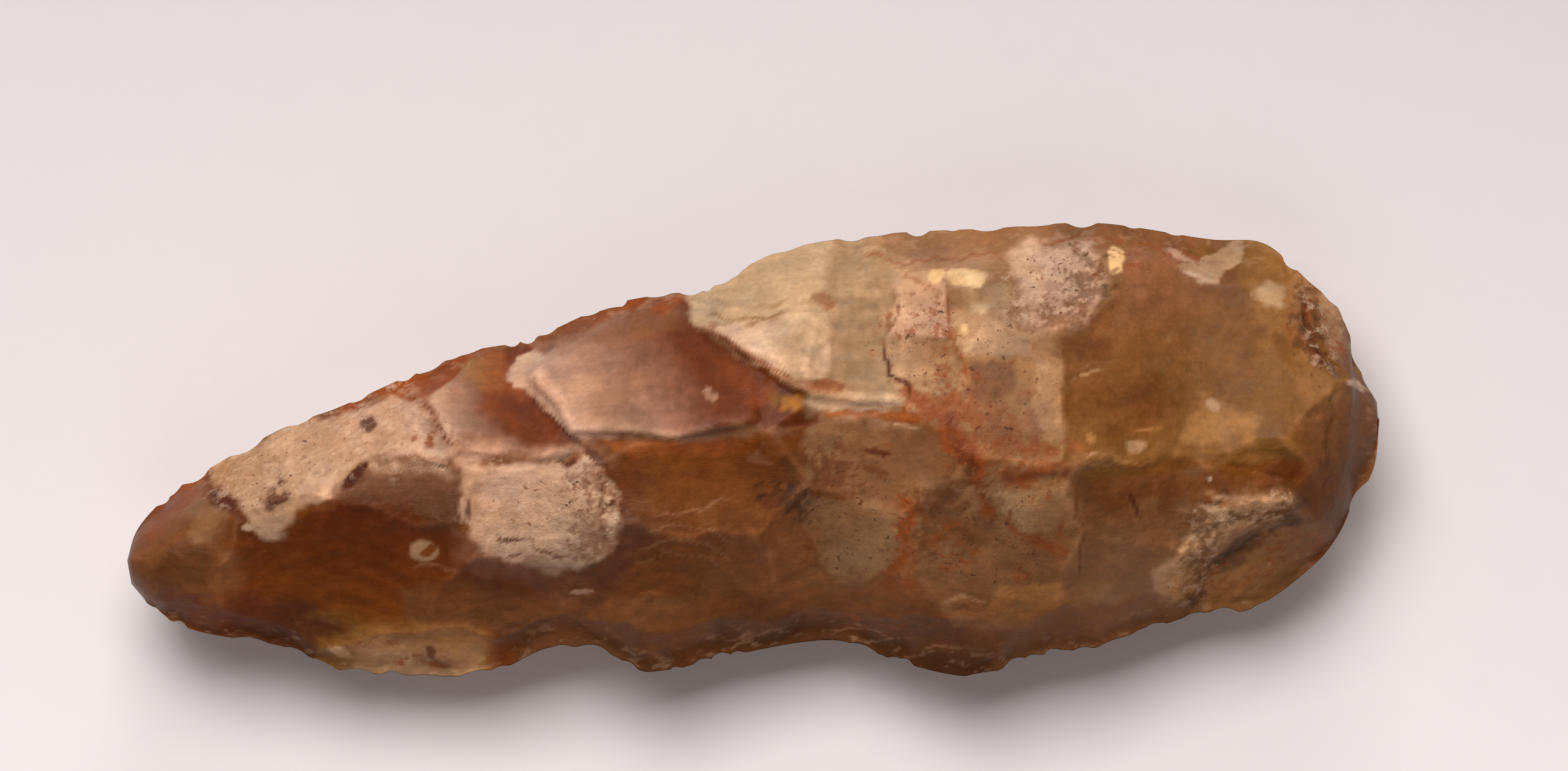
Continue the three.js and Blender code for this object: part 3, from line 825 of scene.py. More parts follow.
        (36, -10.2), (35.4, -11.8), (33.2, -12.3), (33.5, -9.5), (34.3, -6.4), (36.2, -5.4)), 0.95, 0.2),
    # Painted shade: the cream cortex patch runs into purple on its lower right side
    Facet(Tint.PINK_BROWN, Tint.PURPLE, -60, 1.6, (
        (-23.4, -6.4), (-19.6, -8.3), (-16, -9.2), (-12.6, -8.6), (-10.9, -6.4), (-10.4, -3.4), (-9.2, -4),
        (-9.2, -8), (-11.6, -10.8), (-17, -11), (-23.6, -8.6)), 0.55),
    Facet(Tint.TAN, Tint.OCHRE, -60, 0.7, (
        (31.4, -9.6), (33.4, -8.6), (34.2, -10), (33.4, -11.8), (32, -11.4)), 0.85),
]
FRONT_PATCHES = [
    Patch(-46, -8, 6.5, 7, 0, Tint.UMBER, 0.9, 0.4, 0.2),
    Patch(-46.8, -4.6, 4.2, 1.8, 45, Tint.RUST, 0.9, 0.6, 0.3),
    Patch(-44.6, -1.9, 2, 1, 30, Tint.ORANGE, 0.7, 0.6, 0.4, 1.2),
    Patch(-43.6, -5.4, 2.2, 1.8, 0, Tint.GREY_BROWN, 0.7, 0.6, 0.5, 1.2),
    Patch(-44.6, -9, 2.6, 2, 0, Tint.BROWN_DARK, 0.6, 0.7, 0.5, 1.2),
    Patch(-45, -12.6, 3.6, 1.4, -24, Tint.RED_BROWN, 0.8, 0.6, 0.4, 1.4),
    Patch(-41.9, -4.1, 1.9, 0.9, -42, Tint.RED_DARK, 0.9, 0.5, 0.4, 1),
    Patch(-40.2, -1.2, 2.6, 1.6, 26, Tint.OCHRE, 0.35, 0.7, 0.7, 0.9),
    Patch(-37.7, -3.7, 0.8, 0.9, 20, Tint.RED_DARK, 0.85, 0.6, 0.9, 0.7),
    Patch(-37.4, -2.4, 0.7, 0.4, 60, Tint.RED_DARK, 0.6, 0.6, 0.9, 0.7),
    Patch(-30.5, 2, 0.7, 0.7, 0, Tint.PURPLE, 0.9, 0.4, 0.5, 0.7),
    Patch(-31.5, -2, 1.7, 0.55, 44, Tint.RED_DARK, 0.95, 0.3, 0.2, 0.8),
    Patch(-25.5, 0.9, 0.6, 0.5, 0, Tint.RUST, 0.85, 0.5, 0.6, 0.8),
    Patch(-26.8, 0.9, 0.25, 0.25, 0, Tint.RUST, 0.7, 0.5, 0.6, 0.8),
    Patch(-30.4, 0.8, 0.25, 0.2, 0, Tint.RED_DARK, 0.7, 0.5, 0.6, 0.8),
    Patch(-24.8, -0.3, 0.9, 0.3, -10, Tint.CREAM, 0.8, 0.5, 0.4, 0.8),
    Patch(-40, -6.2, 0.5, 0.35, 0, Tint.CREAM, 0.8, 0.5, 0.4, 0.8),
    Patch(-27.2, 4.6, 1.5, 0.4, 3, Tint.PINK_BROWN, 0.7, 0.5, 0.4, 0.8),
    # Painted shade at the foot of the big scar's rim
    Patch(-18.6, 3.4, 2.4, 1.4, -24, Tint.RED_DARK, 0.7, 1.2, 0.2),
    Patch(-3.4, 4.4, 0.7, 0.5, -30, Tint.PINK_CREAM, 0.6, 0.6, 0.6, 0.7),
    Patch(-6.8, 11.7, 1.5, 0.6, 24, Tint.RUST, 0.8, 0.6, 0.4, 0.9),
    Patch(1.8, 4, 0.8, 0.8, 0, Tint.OLIVE, 0.8, 0.6, 0.4, 0.8),
    Patch(3.1, 3.8, 0.9, 0.7, 0, Tint.GOLD, 0.9, 0.7, 0.4, 0.8, 3),
    Patch(5.6, 5, 1.4, 0.6, -6, Tint.RUST, 0.75, 0.7, 0.5, 0.9),
    Patch(5.2, 12, 1, 0.7, 0, Tint.RUST, 0.6, 0.7, 0.7, 0.9),
    Patch(8, 13.4, 1.8, 1.6, 0, Tint.PALE_GREEN, 0.5, 0.8, 0.6, 1.2),
    Patch(14.7, 13.8, 0.8, 0.7, 30, Tint.IVORY, 0.95, 0.3, 0.2, 0.8, 2.6),
    Patch(17.1, 13.65, 1.7, 0.75, -2, Tint.IVORY, 0.85, 0.25, 0.2, 0.8, 4),
    Patch(18, 11.1, 1.3, 0.6, 10, Tint.PALE_GREEN, 0.8, 0.6, 0.5, 0.9),
    Patch(16.6, 9.4, 0.45, 0.35, 30, Tint.IVORY, 1, 0.4, 0.9, 0.5),
    Patch(14.4, 3.7, 2.4, 1.1, -4, Tint.ORANGE, 0.8, 0.6, 0.6, 0.9),
    Patch(12.4, 2.6, 2.2, 0.5, -2, Tint.RUST, 0.9, 0.5, 0.5, 0.9),
    Patch(18.6, 3, 1.8, 1.6, 0, Tint.OLIVE, 0.35, 0.8, 0.7, 1),
    Patch(19.4, 1.4, 3.4, 1.8, -20, Tint.RUST, 0.5, 0.5, 1.8, 0.6),
    Patch(28.8, 15, 0.6, 1.3, -6, Tint.IVORY, 1, 0.25, 0.25, 0.7, 3.2),
    Patch(33.8, 15.5, 1.3, 0.4, -14, Tint.PINK_CREAM, 0.8, 0.5, 0.5, 0.8),
    Patch(30, 3.4, 4.6, 2.4, 0, Tint.BROWN, 0.65, 0.8, 0.4),
    Patch(26.4, 8, 2.4, 1.2, 12, Tint.BROWN_DARK, 0.4, 0.8, 0.4, 1.4),
    Patch(36.3, 3.5, 0.7, 0.65, 0, Tint.TAN, 0.9, 0.5, 0.2, 0.8),
    Patch(30.2, 0.3, 0.9, 0.5, 0, Tint.TAN, 0.8, 0.6, 0.4, 0.8),
    Patch(26.6, 1.2, 0.35, 0.35, 0, Tint.OCHRE, 0.8, 0.5, 0.3, 0.8),
    Patch(41, 12.4, 1.3, 1.1, 0, Tint.PALE_GREEN, 0.7, 0.7, 0.5, 1),
    Patch(47.8, 5, 1, 0.45, -8, Tint.CREAM, 0.9, 0.5, 0.4, 0.7),
    Patch(41.5, -0.1, 1.9, 0.6, -6, Tint.OLIVE, 0.7, 0.5, 0.3, 0.9),
    Patch(41.9, -1.8, 1.8, 1.1, 0, Tint.AMBER_DEEP, 0.5, 0.7, 0.3, 0.9),
    Patch(36.1, -2.2, 0.3, 0.25, 0, Tint.CREAM, 0.9, 0.5, 0.5, 0.5),
    Patch(38, -4.1, 2.2, 0.5, 4, Tint.ORANGE, 0.5, 0.6, 0.6, 0.8),
    # Painted shade in the hollow under the rocky crust's step
    Patch(38.6, -8, 2.4, 1, 30, Tint.BROWN_DARK, 0.75, 0.6, 0.4, 1),
    Patch(42.4, -5.4, 1.5, 0.8, -20, Tint.BROWN_DARK, 0.7, 0.6, 0.4, 1),
    Patch(45.4, -7.6, 1, 1.8, -20, Tint.RUST, 0.6, 0.6, 0.4, 1),
    Patch(-26.1, -8.1, 1.25, 1.15, 0, Tint.TAN, 0.7, 0.3, 0.1, 0.8),
    Patch(-25.7, -8, 0.8, 0.5, 40, Tint.AMBER, 0.95, 0.35, 0.1, 0.8),
    Patch(-33, -13.4, 2.4, 0.9, -6, Tint.OLIVE, 0.5, 0.7, 0.4, 1.2),
    Patch(-25.8, -16.1, 0.4, 0.6, 30, Tint.RED_BROWN, 0.9, 0.5, 0.5, 0.7),
    Patch(-25, -17.1, 1.3, 0.3, -4, Tint.RUST, 0.7, 0.6, 0.6, 0.7),
    Patch(-33, -16.2, 1.3, 0.5, -20, Tint.TAN, 0.8, 0.6, 0.5, 0.8),
    Patch(-13.2, -5.4, 1.8, 2.6, 0, Tint.OCHRE, 0.2, 0.8, 0.8, 0.8),
    Patch(-11.1, -4.3, 0.35, 0.35, 0, Tint.BLACK, 0.9, 0.4, 0.4, 0.6),
    Patch(-12.4, -0.6, 0.45, 1.1, 30, Tint.PURPLE, 0.9, 0.4, 0.5, 0.7),
    Patch(-11.8, -5.8, 0.25, 1.1, 0, Tint.RED_BROWN, 0.5, 0.6, 0.9, 0.6),
    Patch(-22.6, -4.5, 0.25, 0.8, 8, Tint.RED_DARK, 0.8, 0.5, 0.4, 0.6),
    Patch(-19.4, -7.1, 1, 0.18, -2, Tint.RED_DARK, 0.8, 0.6, 0.4, 0.6),
    Patch(-18.8, -8.3, 0.9, 0.16, 4, Tint.RED_DARK, 0.7, 0.6, 0.4, 0.6),
    Patch(-16.2, -8.3, 1.1, 0.12, -2, Tint.RED_BROWN, 0.6, 0.6, 0.4, 0.6),
    Patch(-13.9, -11.1, 1.5, 0.3, 2, Tint.PINK_CREAM, 0.6, 0.6, 0.5, 0.6),
    Patch(0.2, -0.6, 0.9, 0.5, -20, Tint.PINK_BROWN, 0.6, 0.6, 0.5, 0.8),
    Patch(3, -2.6, 0.8, 1.8, 10, Tint.BROWN_DARK, 0.7, 0.7, 0.5, 0.9),
    Patch(1.4, -4.2, 1.2, 0.6, -40, Tint.RED_DARK, 0.5, 0.8, 0.8, 0.8),
    Patch(14.6, -3.6, 1.7, 1.3, 30, Tint.PURPLE, 0.65, 0.6, 0.5, 0.9),
    Patch(17.2, -6.2, 1.7, 1.5, 0, Tint.UMBER, 0.7, 0.6, 0.5, 1),
    Patch(18.4, -4.7, 0.7, 0.9, 20, Tint.RUST, 0.8, 0.6, 0.6, 0.7),
    Patch(22.8, -7.3, 1.7, 0.6, -24, Tint.RUST, 0.7, 0.6, 0.7, 0.8),
    Patch(12.2, -9.2, 1.6, 1.6, 0, Tint.RUST, 0.5, 0.8, 0.8, 0.9),
    Patch(16.2, 0.5, 2.9, 0.8, -58, Tint.RUST, 0.95, 0.5, 1.1, 0.7),
    Patch(16.6, -0.4, 2.2, 0.4, -62, Tint.RED_BROWN, 0.9, 0.5, 1.1, 0.6),
    Patch(22, -1.9, 2.6, 0.4, 6, Tint.RED_BROWN, 0.6, 0.5, 1.6, 0.6),
    Patch(21.6, 0.4, 2.2, 0.6, -8, Tint.RUST, 0.6, 0.6, 1.2, 0.6),
    Patch(12.8, 4.2, 1.2, 0.9, -30, Tint.RUST, 0.8, 0.6, 1.1, 0.6),
    Patch(6.4, -1.6, 1.8, 1.2, 0, Tint.RED_BROWN, 0.6, 0.5, 1.6, 0.5),
    Patch(9.8, -0.2, 0.9, 0.3, -12, Tint.RED_DARK, 0.8, 0.5, 0.8, 0.5),
    Patch(2.6, -3.8, 1.6, 0.8, -20, Tint.BLACK, 0.5, 0.5, 1.5, 0.5),
    Patch(14.8, -5, 2.4, 1.6, 50, Tint.BROWN_DARK, 0.6, 0.6, 1.4, 0.7),
    Patch(11.8, -6.6, 2.6, 0.5, 84, Tint.RUST, 0.8, 0.6, 1.2, 0.6),
    Patch(26.6, 13.4, 1.6, 1.4, -50, Tint.BROWN_DARK, 0.6, 0.5, 1.5, 0.4),
    Patch(24.4, 10.8, 1.8, 0.8, 10, Tint.UMBER, 0.7, 0.5, 1.5, 0.4),
    Patch(44, 9.8, 0.8, 2.6, 10, Tint.BROWN_DARK, 0.7, 0.5, 1.3, 0.5),
    Patch(35.8, -8.6, 0.7, 3, -16, Tint.BROWN_DARK, 0.6, 0.5, 1.3, 0.6),
    Patch(39.8, -5, 2.8, 0.5, 14, Tint.BROWN_DARK, 0.6, 0.5, 1.3, 0.6),
    Patch(-12.6, -5.6, 1.2, 2.4, 0, Tint.RED_BROWN, 0.5, 0.4, 1.7, 0.4),
    Patch(-12.2, -2.2, 1.6, 1, -40, Tint.RED_BROWN, 0.5, 0.4, 1.9, 0.4),
]
FRONT_STREAKS = [
    Streak(0.09, ((-9, -6.9), (-6.2, -5.9), (-3.2, -6.2), (-1, -7.6)), Tint.GREY_BROWN, 0.55),
    Streak(0.09, ((-9.4, -8.2), (-6.6, -6.9), (-3.6, -7.3), (-1.6, -8.9)), Tint.GREY_BROWN, 0.6),
    Streak(0.08, ((-9.6, -9.2), (-6.6, -8.1), (-4, -8.4), (-2.6, -9.6)), Tint.GREY_BROWN, 0.5),
    Streak(0.14, ((-12.2, -1.4), (-11.8, -3.4), (-11.6, -5.6), (-12, -7.6)), Tint.RED_DARK, 0.7, 0.9),
    Streak(0.12, ((-20.6, -7.2), (-18.6, -7.3), (-16.4, -8), (-14.2, -8.2)), Tint.RED_DARK, 0.7, 0.8),
    Streak(0.16, ((47, 5.6), (48.2, 5.2), (49.6, 4.6)), Tint.CREAM, 0.8, 0.5),
    Streak(0.14, ((46.4, 4.8), (45.6, 1.8), (45.2, -1.4), (45.6, -4.6)), Tint.BROWN_DARK, 0.6, 0.6),
    # A painted shadow line under the rocky crust's step
    Streak(0.18, ((36.6, -9.8), (38.4, -8.2), (41, -6.4), (43.8, -5.4)), Tint.BLACK, 0.55, 0.7),
    Streak(0.12, ((37.6, -6.8), (39.6, -5.2), (42.4, -4.4)), Tint.RED_BROWN, 0.7, 0.8),
    Streak(0.1, ((39, -10.6), (41.6, -9), (44.6, -8.2)), Tint.OCHRE, 0.6, 0.8),
    Streak(0.14, ((8.4, 15.8), (12, 15), (16.4, 15.4), (20.2, 15.6)), Tint.RUST, 0.6, 0.8),
    Streak(0.12, ((11.4, 14.6), (13.6, 13.6), (15, 12)), Tint.RUST, 0.5, 0.9),
    Streak(0.1, ((18.8, 9.8), (20.6, 8.6), (23, 8.2)), Tint.RUST, 0.5, 0.9),
    Streak(0.14, ((19, -5.6), (21, -6.6), (23.4, -8.4), (24.8, -8.8)), Tint.RUST, 0.7, 0.8),
    Streak(0.12, ((18.6, -3.4), (20, -5), (19.2, -6.6)), Tint.RED_BROWN, 0.7, 0.8),
    Streak(0.14, ((13, -2.6), (12.6, -4.6), (13.4, -6.2)), Tint.RED_BROWN, 0.6, 0.9),
    Streak(0.1, ((-4.2, -14.9), (-0.6, -14.6), (3.2, -14.9)), Tint.PINK_BROWN, 0.8, 0.8),
    Streak(0.1, ((6, -14.6), (9, -14.3), (12.2, -15)), Tint.PINK_BROWN, 0.8, 0.8),
    Streak(0.1, ((12.6, -16), (14.6, -15.7), (16.6, -16.2)), Tint.PINK_BROWN, 0.8, 0.8),
    Streak(0.12, ((5.6, -13.6), (10, -13.2), (13, -14)), Tint.RUST, 0.6, 0.9),
    Streak(0.16, ((10.3, 8.8), (10.4, 7.4), (10.6, 6), (12.2, 5), (12.6, 4)), Tint.RED_DARK),
    Streak(0.1, ((11.4, 13), (11.4, 11.4), (11.3, 10), (10.4, 8.8)), Tint.RED_BROWN, 0.7),
    Streak(0.12, ((15.6, 12.8), (15.5, 9), (16.4, 8), (16.5, 4.8)), Tint.RUST, 0.8),
    Streak(0.14, ((-25.6, -0.8), (-24.4, -1.1), (-23.8, -1.5)), Tint.BLACK),
    # Painted shade lines at the foot of two scars' steps
    Streak(0.12, ((-27, 4.1), (-25.6, 2.4), (-24.4, 1.2), (-23.5, -0.2)), Tint.RED_DARK, 0.9),
    Streak(0.14, ((-18.1, 4.6), (-16.2, 3), (-14, 1.1), (-13.2, 0.4)), Tint.RED_DARK, 0.9),
    Streak(0.12, ((-16.4, -0.8), (-14.6, -1.4), (-13.4, -0.6)), Tint.RED_DARK, 0.9),
    # A painted shade line along the pale scar's step
    Streak(0.18, ((-4.2, 9.5), (-2.4, 8.8), (-0.4, 7.4), (1.8, 6.4), (3.6, 5.4)), Tint.RED_BROWN, 0.8),
    Streak(0.14, ((-4, 10.8), (-1.5, 10.4), (1, 10.8), (2.8, 11.4)), Tint.OLIVE, 0.7),
    Streak(0.12, ((-3.6, 11.8), (-1.4, 11.3), (1.6, 11.7), (3.4, 12.3)), Tint.OLIVE, 0.4),
    Streak(0.26, ((5, 2.9), (9, 2.8), (13.8, 2.6)), Tint.ORANGE, 0.9),
    Streak(0.12, ((5.4, 3.3), (8, 3.4), (11.4, 3.6)), Tint.CREAM, 0.7),
    Streak(0.1, ((10.4, 2.1), (13.8, 1.9)), Tint.TAN, 0.7),
    Streak(0.55, ((14.9, 2.2), (16.4, 0.6), (17.6, -1.2), (17.9, -2.8)), Tint.RUST, 0.75, 0.7),
    Streak(0.24, ((15.2, 1.8), (16.6, 0), (17.8, -2.4)), Tint.RED_BROWN, 0.8, 0.5),
    Streak(0.3, ((19.8, -2.2), (21.6, -1.9), (24.4, -1.5)), Tint.RUST, 0.6, 0.6),
    Streak(0.16, ((17.6, -3), (18.2, -4.2), (18.8, -5.6)), Tint.RUST, 0.8),
    Streak(0.2, ((11.9, -4.2), (11.5, -5.6), (11.6, -7.6)), Tint.RUST, 0.8),
    Streak(0.18, ((24.6, -5), (24.2, -6.2), (24.6, -7.6)), Tint.RUST, 0.8),
    Streak(0.14, ((25.6, -3), (26, -6), (25.8, -10.4)), Tint.BROWN_DARK, 0.6),
    Streak(0.2, ((29.2, -2.8), (30, -4.2), (30.4, -5.8)), Tint.RED_DARK),
    Streak(0.24, ((44, 8.8), (45, 7.4), (46.5, 5.6)), Tint.RED_DARK),
    Streak(0.16, ((44.2, 12.4), (44, 10.4), (44.2, 8.8)), Tint.RED_BROWN, 0.7),
    Streak(0.14, ((22.4, 16.7), (25.6, 16.7), (27.2, 17)), Tint.RUST, 0.8),
    Streak(0.12, ((34, 14.8), (35.3, 13.7), (37.1, 13.2)), Tint.CREAM, 0.8),
    Streak(0.1, ((24.8, 5.5), (26, 6), (27.9, 6.4)), Tint.TAN, 0.7),
    Streak(0.1, ((25.4, 6.3), (27.6, 7), (29, 7)), Tint.PINK_BROWN, 0.6),
    Streak(0.1, ((29.3, 1.4), (32.4, 1.7)), Tint.OCHRE, 0.7),
    Streak(0.1, ((25.5, -0.5), (26.4, -0.45), (27.3, 0.1)), Tint.TAN, 0.9),
    Streak(0.1, ((25.6, -0.95), (28.6, -1), (31.6, -0.8)), Tint.OCHRE, 0.7),
    Streak(0.1, ((-8, -5.3), (-5, -4.7), (-1.6, -3.6)), Tint.PINK_BROWN, 0.6),
    Streak(0.1, ((-9.6, -11.1), (-6.6, -11)), Tint.ORANGE, 0.7),
    Streak(0.1, ((-27.2, -9.5), (-25, -9.1), (-23.2, -9.8)), Tint.PINK_BROWN, 0.6),
    Streak(0.12, ((-40.6, -3.6), (-39, -3.8), (-38.4, -4.6)), Tint.OCHRE, 0.7),
    Streak(0.14, ((15, -12.2), (16.6, -11.6), (18.4, -12)), Tint.TAN, 0.5),
    Streak(0.12, ((15.4, -12.9), (16.8, -12.5), (18.4, -12.8)), Tint.BROWN_DARK, 0.6),
]


@dataclass
class StoneForm:
    """The stone's form as heights above and below its middle plane."""

    stations: int = 440
    front_strips: int = 176
    back_strips: int = 44
    crowding: float = 0.28
    nicks: int = 46
    nick_reach: int = 14
    nick_fade: float = 0.01
    nick_place: Point = (0.02, 0.98)
    nick_half: Point = (0.004, 0.013)
    nick_deep: Point = (0.08, 0.42)
    chips: int = 64
    chip_wide: Point = (0.7, 1.7)
    chip_deep: Point = (0.15, 0.42)
    swing: float = 0.3
    ragged: float = 0.22
    broad_grain: float = 0.12
    fine_grain: float = 0.07
    rocky_rise: float = 0.30
    rocky_pits: float = 0.9
    worn_grain: float = 0.08
    back_grain: float = 0.06
    relief_fade: float = 1.5
    ledge_swing: float = 0.4
    ledge_down: float = 0.5
    ledge_up: float = 0.6
    scar_share: float = 0.75
    chip_share: float = 0.5
    noise: Noise = field(default_factory=lambda: Noise(SEED))

    def __post_init__(self) -> None:
        """Lays out both long edges, with their small nicks and chips."""
        self.lower = smooth_line(LOWER_EDGE, self.stations + 1)
        self.upper = smooth_line(UPPER_EDGE, self.stations + 1)
        self.bites = self.nicked(self.lower, 1), self.nicked(self.upper, -1)
        self.back_scars = self.plain_scars()
        self.front_chips = self.edge_chips(SEED + 1)
        self.back_chips = self.edge_chips(SEED + 2)

    def nicked(self, line: Array, inward: float) -> Array:
        """Small nicks bitten out of an edge line.

        Args:
            line: The smooth edge line.
            inward: 1 where the stone lies on the line's left, and -1 where it lies on its right.

        Returns:
            How far each point of the line is moved.
        """
        random = np.random.default_rng(SEED + int(inward))
        u = np.linspace(0, 1, len(line))
        bite = np.zeros(len(line))
        for _ in range(self.nicks):
            spans = self.nick_place, self.nick_half, self.nick_deep
            at, half, deep = (random.uniform(*span) for span in spans)
            bite = np.maximum(bite, deep * np.clip(1 - ((u - at) / half) ** 2, 0, None))
        run = np.gradient(line, axis=0)
        normal = np.stack([-run[:, 1], run[:, 0]], 1) / np.hypot(*run.T)[:, None]
        fade = np.clip(np.minimum(u, 1 - u) / self.nick_fade, 0, 1)
        return inward * normal * (bite * fade)[:, None]

    def half_way(self, x: float) -> tuple[float, float]:
        """The middle and the half width of the outline at a place along the stone."""
        low, high = (float(edge[np.argmin(np.abs(edge[:, 0] - x)), 1]) for edge in (self.lower, self.upper))
        return (low + high) / 2, (high - low) / 2

    def plain_scars(self) -> list[Scar]:
        """The back's scars.

        Returns:
            One at each end, and a row struck from each long edge.
        """
        scars = [Scar(-45, -8.5, 6, 6.4, 0, 1.9), Scar(45, 2.5, 5.4, 9, 8, 1.8)]
        rows = ((1, -36, 40, 8, 0.60, 7.4, 6.4, 2.0), (-1, -38, 38, 7, 0.62, 8.2, 6.8, 2.2))
        for side, first, last, count, reach, long, wide, deep in rows:
            for k in range(count):
                x = first + (last - first) * k / (count - 1)
                middle, half = self.half_way(x)
                swing = math.sin(2.3 * k + side)
                y = middle + side * reach * half
                size = long * (0.72 + 0.3 * half / 17) + 0.6 * swing
                scars.append(Scar(x, y, size, wide + 0.5 * swing, 80 + 14 * swing, deep))
        return scars

    def edge_chips(self, seed: int) -> list[Scar]:
        """Small scars along both long edges, where the edge was trimmed.

        Args:
            seed: The random seed.

        Returns:
            The scars.
        """
        random = np.random.default_rng(seed)
        chips = []
        for line in (self.lower, self.upper):
            for _ in range(self.chips):
                x, y = line[random.integers(6, len(line) - 6)]
                middle, half = self.half_way(float(x))
                wide = random.uniform(*self.chip_wide)
                y = y + (middle - y) * random.uniform(0.3, 1.1) * wide / max(half, 1)
                chips.append(Scar(float(x), float(y), wide * random.uniform(1, 1.5), wide,
                                  random.uniform(-30, 30), random.uniform(*self.chip_deep)))
        return chips

    def grid(self, strips: int) -> tuple[Array, Array, Array, Array]:
        """Places on a face.

        Args:
            strips: How many strips lie between the two long edges.

        Returns:
            The shares along and across, and the places x and y, each with a row for every station.
        """
        v = np.linspace(0, 1, strips + 1)[None]
        v = (1 - self.crowding) * v + self.crowding * (0.5 - 0.5 * np.cos(math.pi * v))
        u = np.linspace(0, 1, self.stations + 1)[:, None]
        parts = ((self.lower, 1 - v), (self.upper, v),
                 (self.bites[0], (1 - v) ** self.nick_reach), (self.bites[1], v ** self.nick_reach))
        x, y = (sum(line[:, k, None] * part for line, part in parts) for k in (0, 1))
        return u, v, x, y

    def uncut(self, steps: Sequence[float], crest: Sequence[float], u: Array, v: Array) -> Array:
        """A face before any scar.

        Args:
            steps: The face's height at even steps.
            crest: The share across where its crest runs, at even steps.
            u: Shares along the stone.
            v: Shares across it.

        Returns:
            Heights, as shares of the face's rise.
        """
        middle = even_value(crest, u)
        off = np.where(v < middle, (middle - v) / middle, (v - middle) / (1 - middle))
        butt = 1 - np.clip(u / BUTT_ROUND, 0, 1)
        bit = 1 - np.clip((1 - u) / BIT_ROUND, 0, 1)
        ends = np.sqrt(1 - butt ** 2) * (1 - bit ** 1.6) ** 0.8
        return even_value(steps, u) * ends * np.clip(1 - off ** CREST_ROUND, 0, None) ** EDGE_ROUND

    def wave(self, u: Array, v: Array) -> Array:
        """How far the sharp edge wanders off the middle plane."""
        phase = 2 * math.pi * EDGE_WAVES * u
        return EDGE_WAVE * ((1 - v) * np.sin(phase) + v * np.sin(1.3 * phase + 2))

    def shaken(self, x: Array, y: Array) -> tuple[Array, Array]:
        """Places shaken a little, so that the scars' rims are not smooth ovals.

        Args:
            x: Places along the stone.
            y: Places across it.

        Returns:
            The places x and y to take the scars' depths at.
        """
        fine_x, fine_y = self.noise(x, y, 1.8, 3), self.noise(x + 31, y - 17, 1.8, 3)
        return (x + self.swing * np.sin(1.1 * y + 0.6 * np.sin(0.7 * x)) + self.ragged * fine_x,
                y + self.swing * np.sin(0.9 * x + 0.8 * np.sin(0.8 * y)) + self.ragged * fine_y)

    def knapped(self, height: Array, scars: Sequence[Scar], x: Array, y: Array, share: float) -> Array:
        """A face with the deepest dish taken out at each place, never cut through.

        Args:
            height: The face's height.
            scars: The dishes.
            x: Places along the stone.
            y: Places across it.
            share: The share of the height that can be taken.

        Returns:
            The height that is left.
        """
        depth = np.zeros(x.shape)
        for scar in scars:
            depth = np.maximum(depth, scar.depth(x, y))
        most = np.maximum(share * height, 1e-9)
        return height - most * np.tanh(depth / most)

    def relief(self, x: Array, y: Array, sx: Array, sy: Array) -> Array:
        """The shown face's finest relief: ripples, ridges, cracks, grain and the rocky patches.

        Args:
            x: Places along the stone.
            y: Places across it.
            sx: The shaken places along it.
            sy: The shaken places across it.

        Returns:
            What it adds to the height.
        """
        shake = self.noise(x, y, 4, 3)
        fine = sum(mark.height(x, y, shake) for mark in (*RIPPLES, *HACKLES))
        fine = fine * np.clip(0.5 + 1.2 * self.noise(x - 20, y + 9, 3, 2), 0, 1)
        fine = fine - sum(crack.depth(sx, sy) for crack in CRACKS)
        fine = fine + self.broad_grain * shake + self.fine_grain * self.noise(x, y, 1.4, 4)
        rocky = np.max([np.clip(2.2 - 2 * oval.reach(x, y), 0, 1) for oval in ROCKY], axis=0)
        return fine + rocky * (self.rocky_rise - self.rocky_pits * np.abs(self.noise(x + 9, y, 2.1, 4)))

    def front(self) -> tuple[Array, ...]:
        """The shown face.

        Returns:
            Its points as x, y and z, and its height without the finest relief.
        """
        u, v, x, y = self.grid(self.front_strips)
        sx, sy = self.shaken(x, y)
        height = FRONT_RISE * self.uncut(FRONT_PROFILE, FRONT_CREST, u, v)
        height = self.knapped(height, FRONT_SCARS, sx, sy, self.scar_share)
        lx, ly = x + self.ledge_swing * (sx - x), y + self.ledge_swing * (sy - y)
        step = sum(ledge.step(lx, ly) for ledge in LEDGES)
        height = height + np.clip(step, -self.ledge_down * height, self.ledge_up * height)
        height = self.knapped(height, self.front_chips, sx, sy, self.chip_share)
        raised = sum(facet.rise * facet.cover(x, y, self.noise) for facet in FACETS if facet.rise)
        height = height + raised * np.clip(height, 0, 1)
        plain = height + self.worn_grain * self.noise(x, y, 1.6, 4)
        height = height + self.relief(x, y, sx, sy) * np.clip(height / self.relief_fade, 0, 1)
        return x, y, BACK_RISE - FLAT_DEPTH + self.wave(u, v) + height, plain

    def back(self) -> tuple[Array, ...]:
        """The plainer back face, with its flat spot on the floor.

        Returns:
            Its points as x, y and z.
        """
        u, v, x, y = self.grid(self.back_strips)
        sx, sy = self.shaken(x, y)
        height = BACK_RISE * self.uncut(BACK_PROFILE, BACK_CREST, u, v)
        height = self.knapped(height, self.back_scars, sx, sy, self.scar_share)
        height = self.knapped(height, self.back_chips, sx, sy, self.chip_share)
        fine = self.broad_grain * self.noise(x + 50, y + 50, 4, 3)
        fine = fine + self.back_grain * self.noise(x, y, 1.2, 3)
        height = height + fine * np.clip(height / self.relief_fade, 0, 1)
        return x, y, np.maximum(BACK_RISE - FLAT_DEPTH + self.wave(u, v) - height, 0)


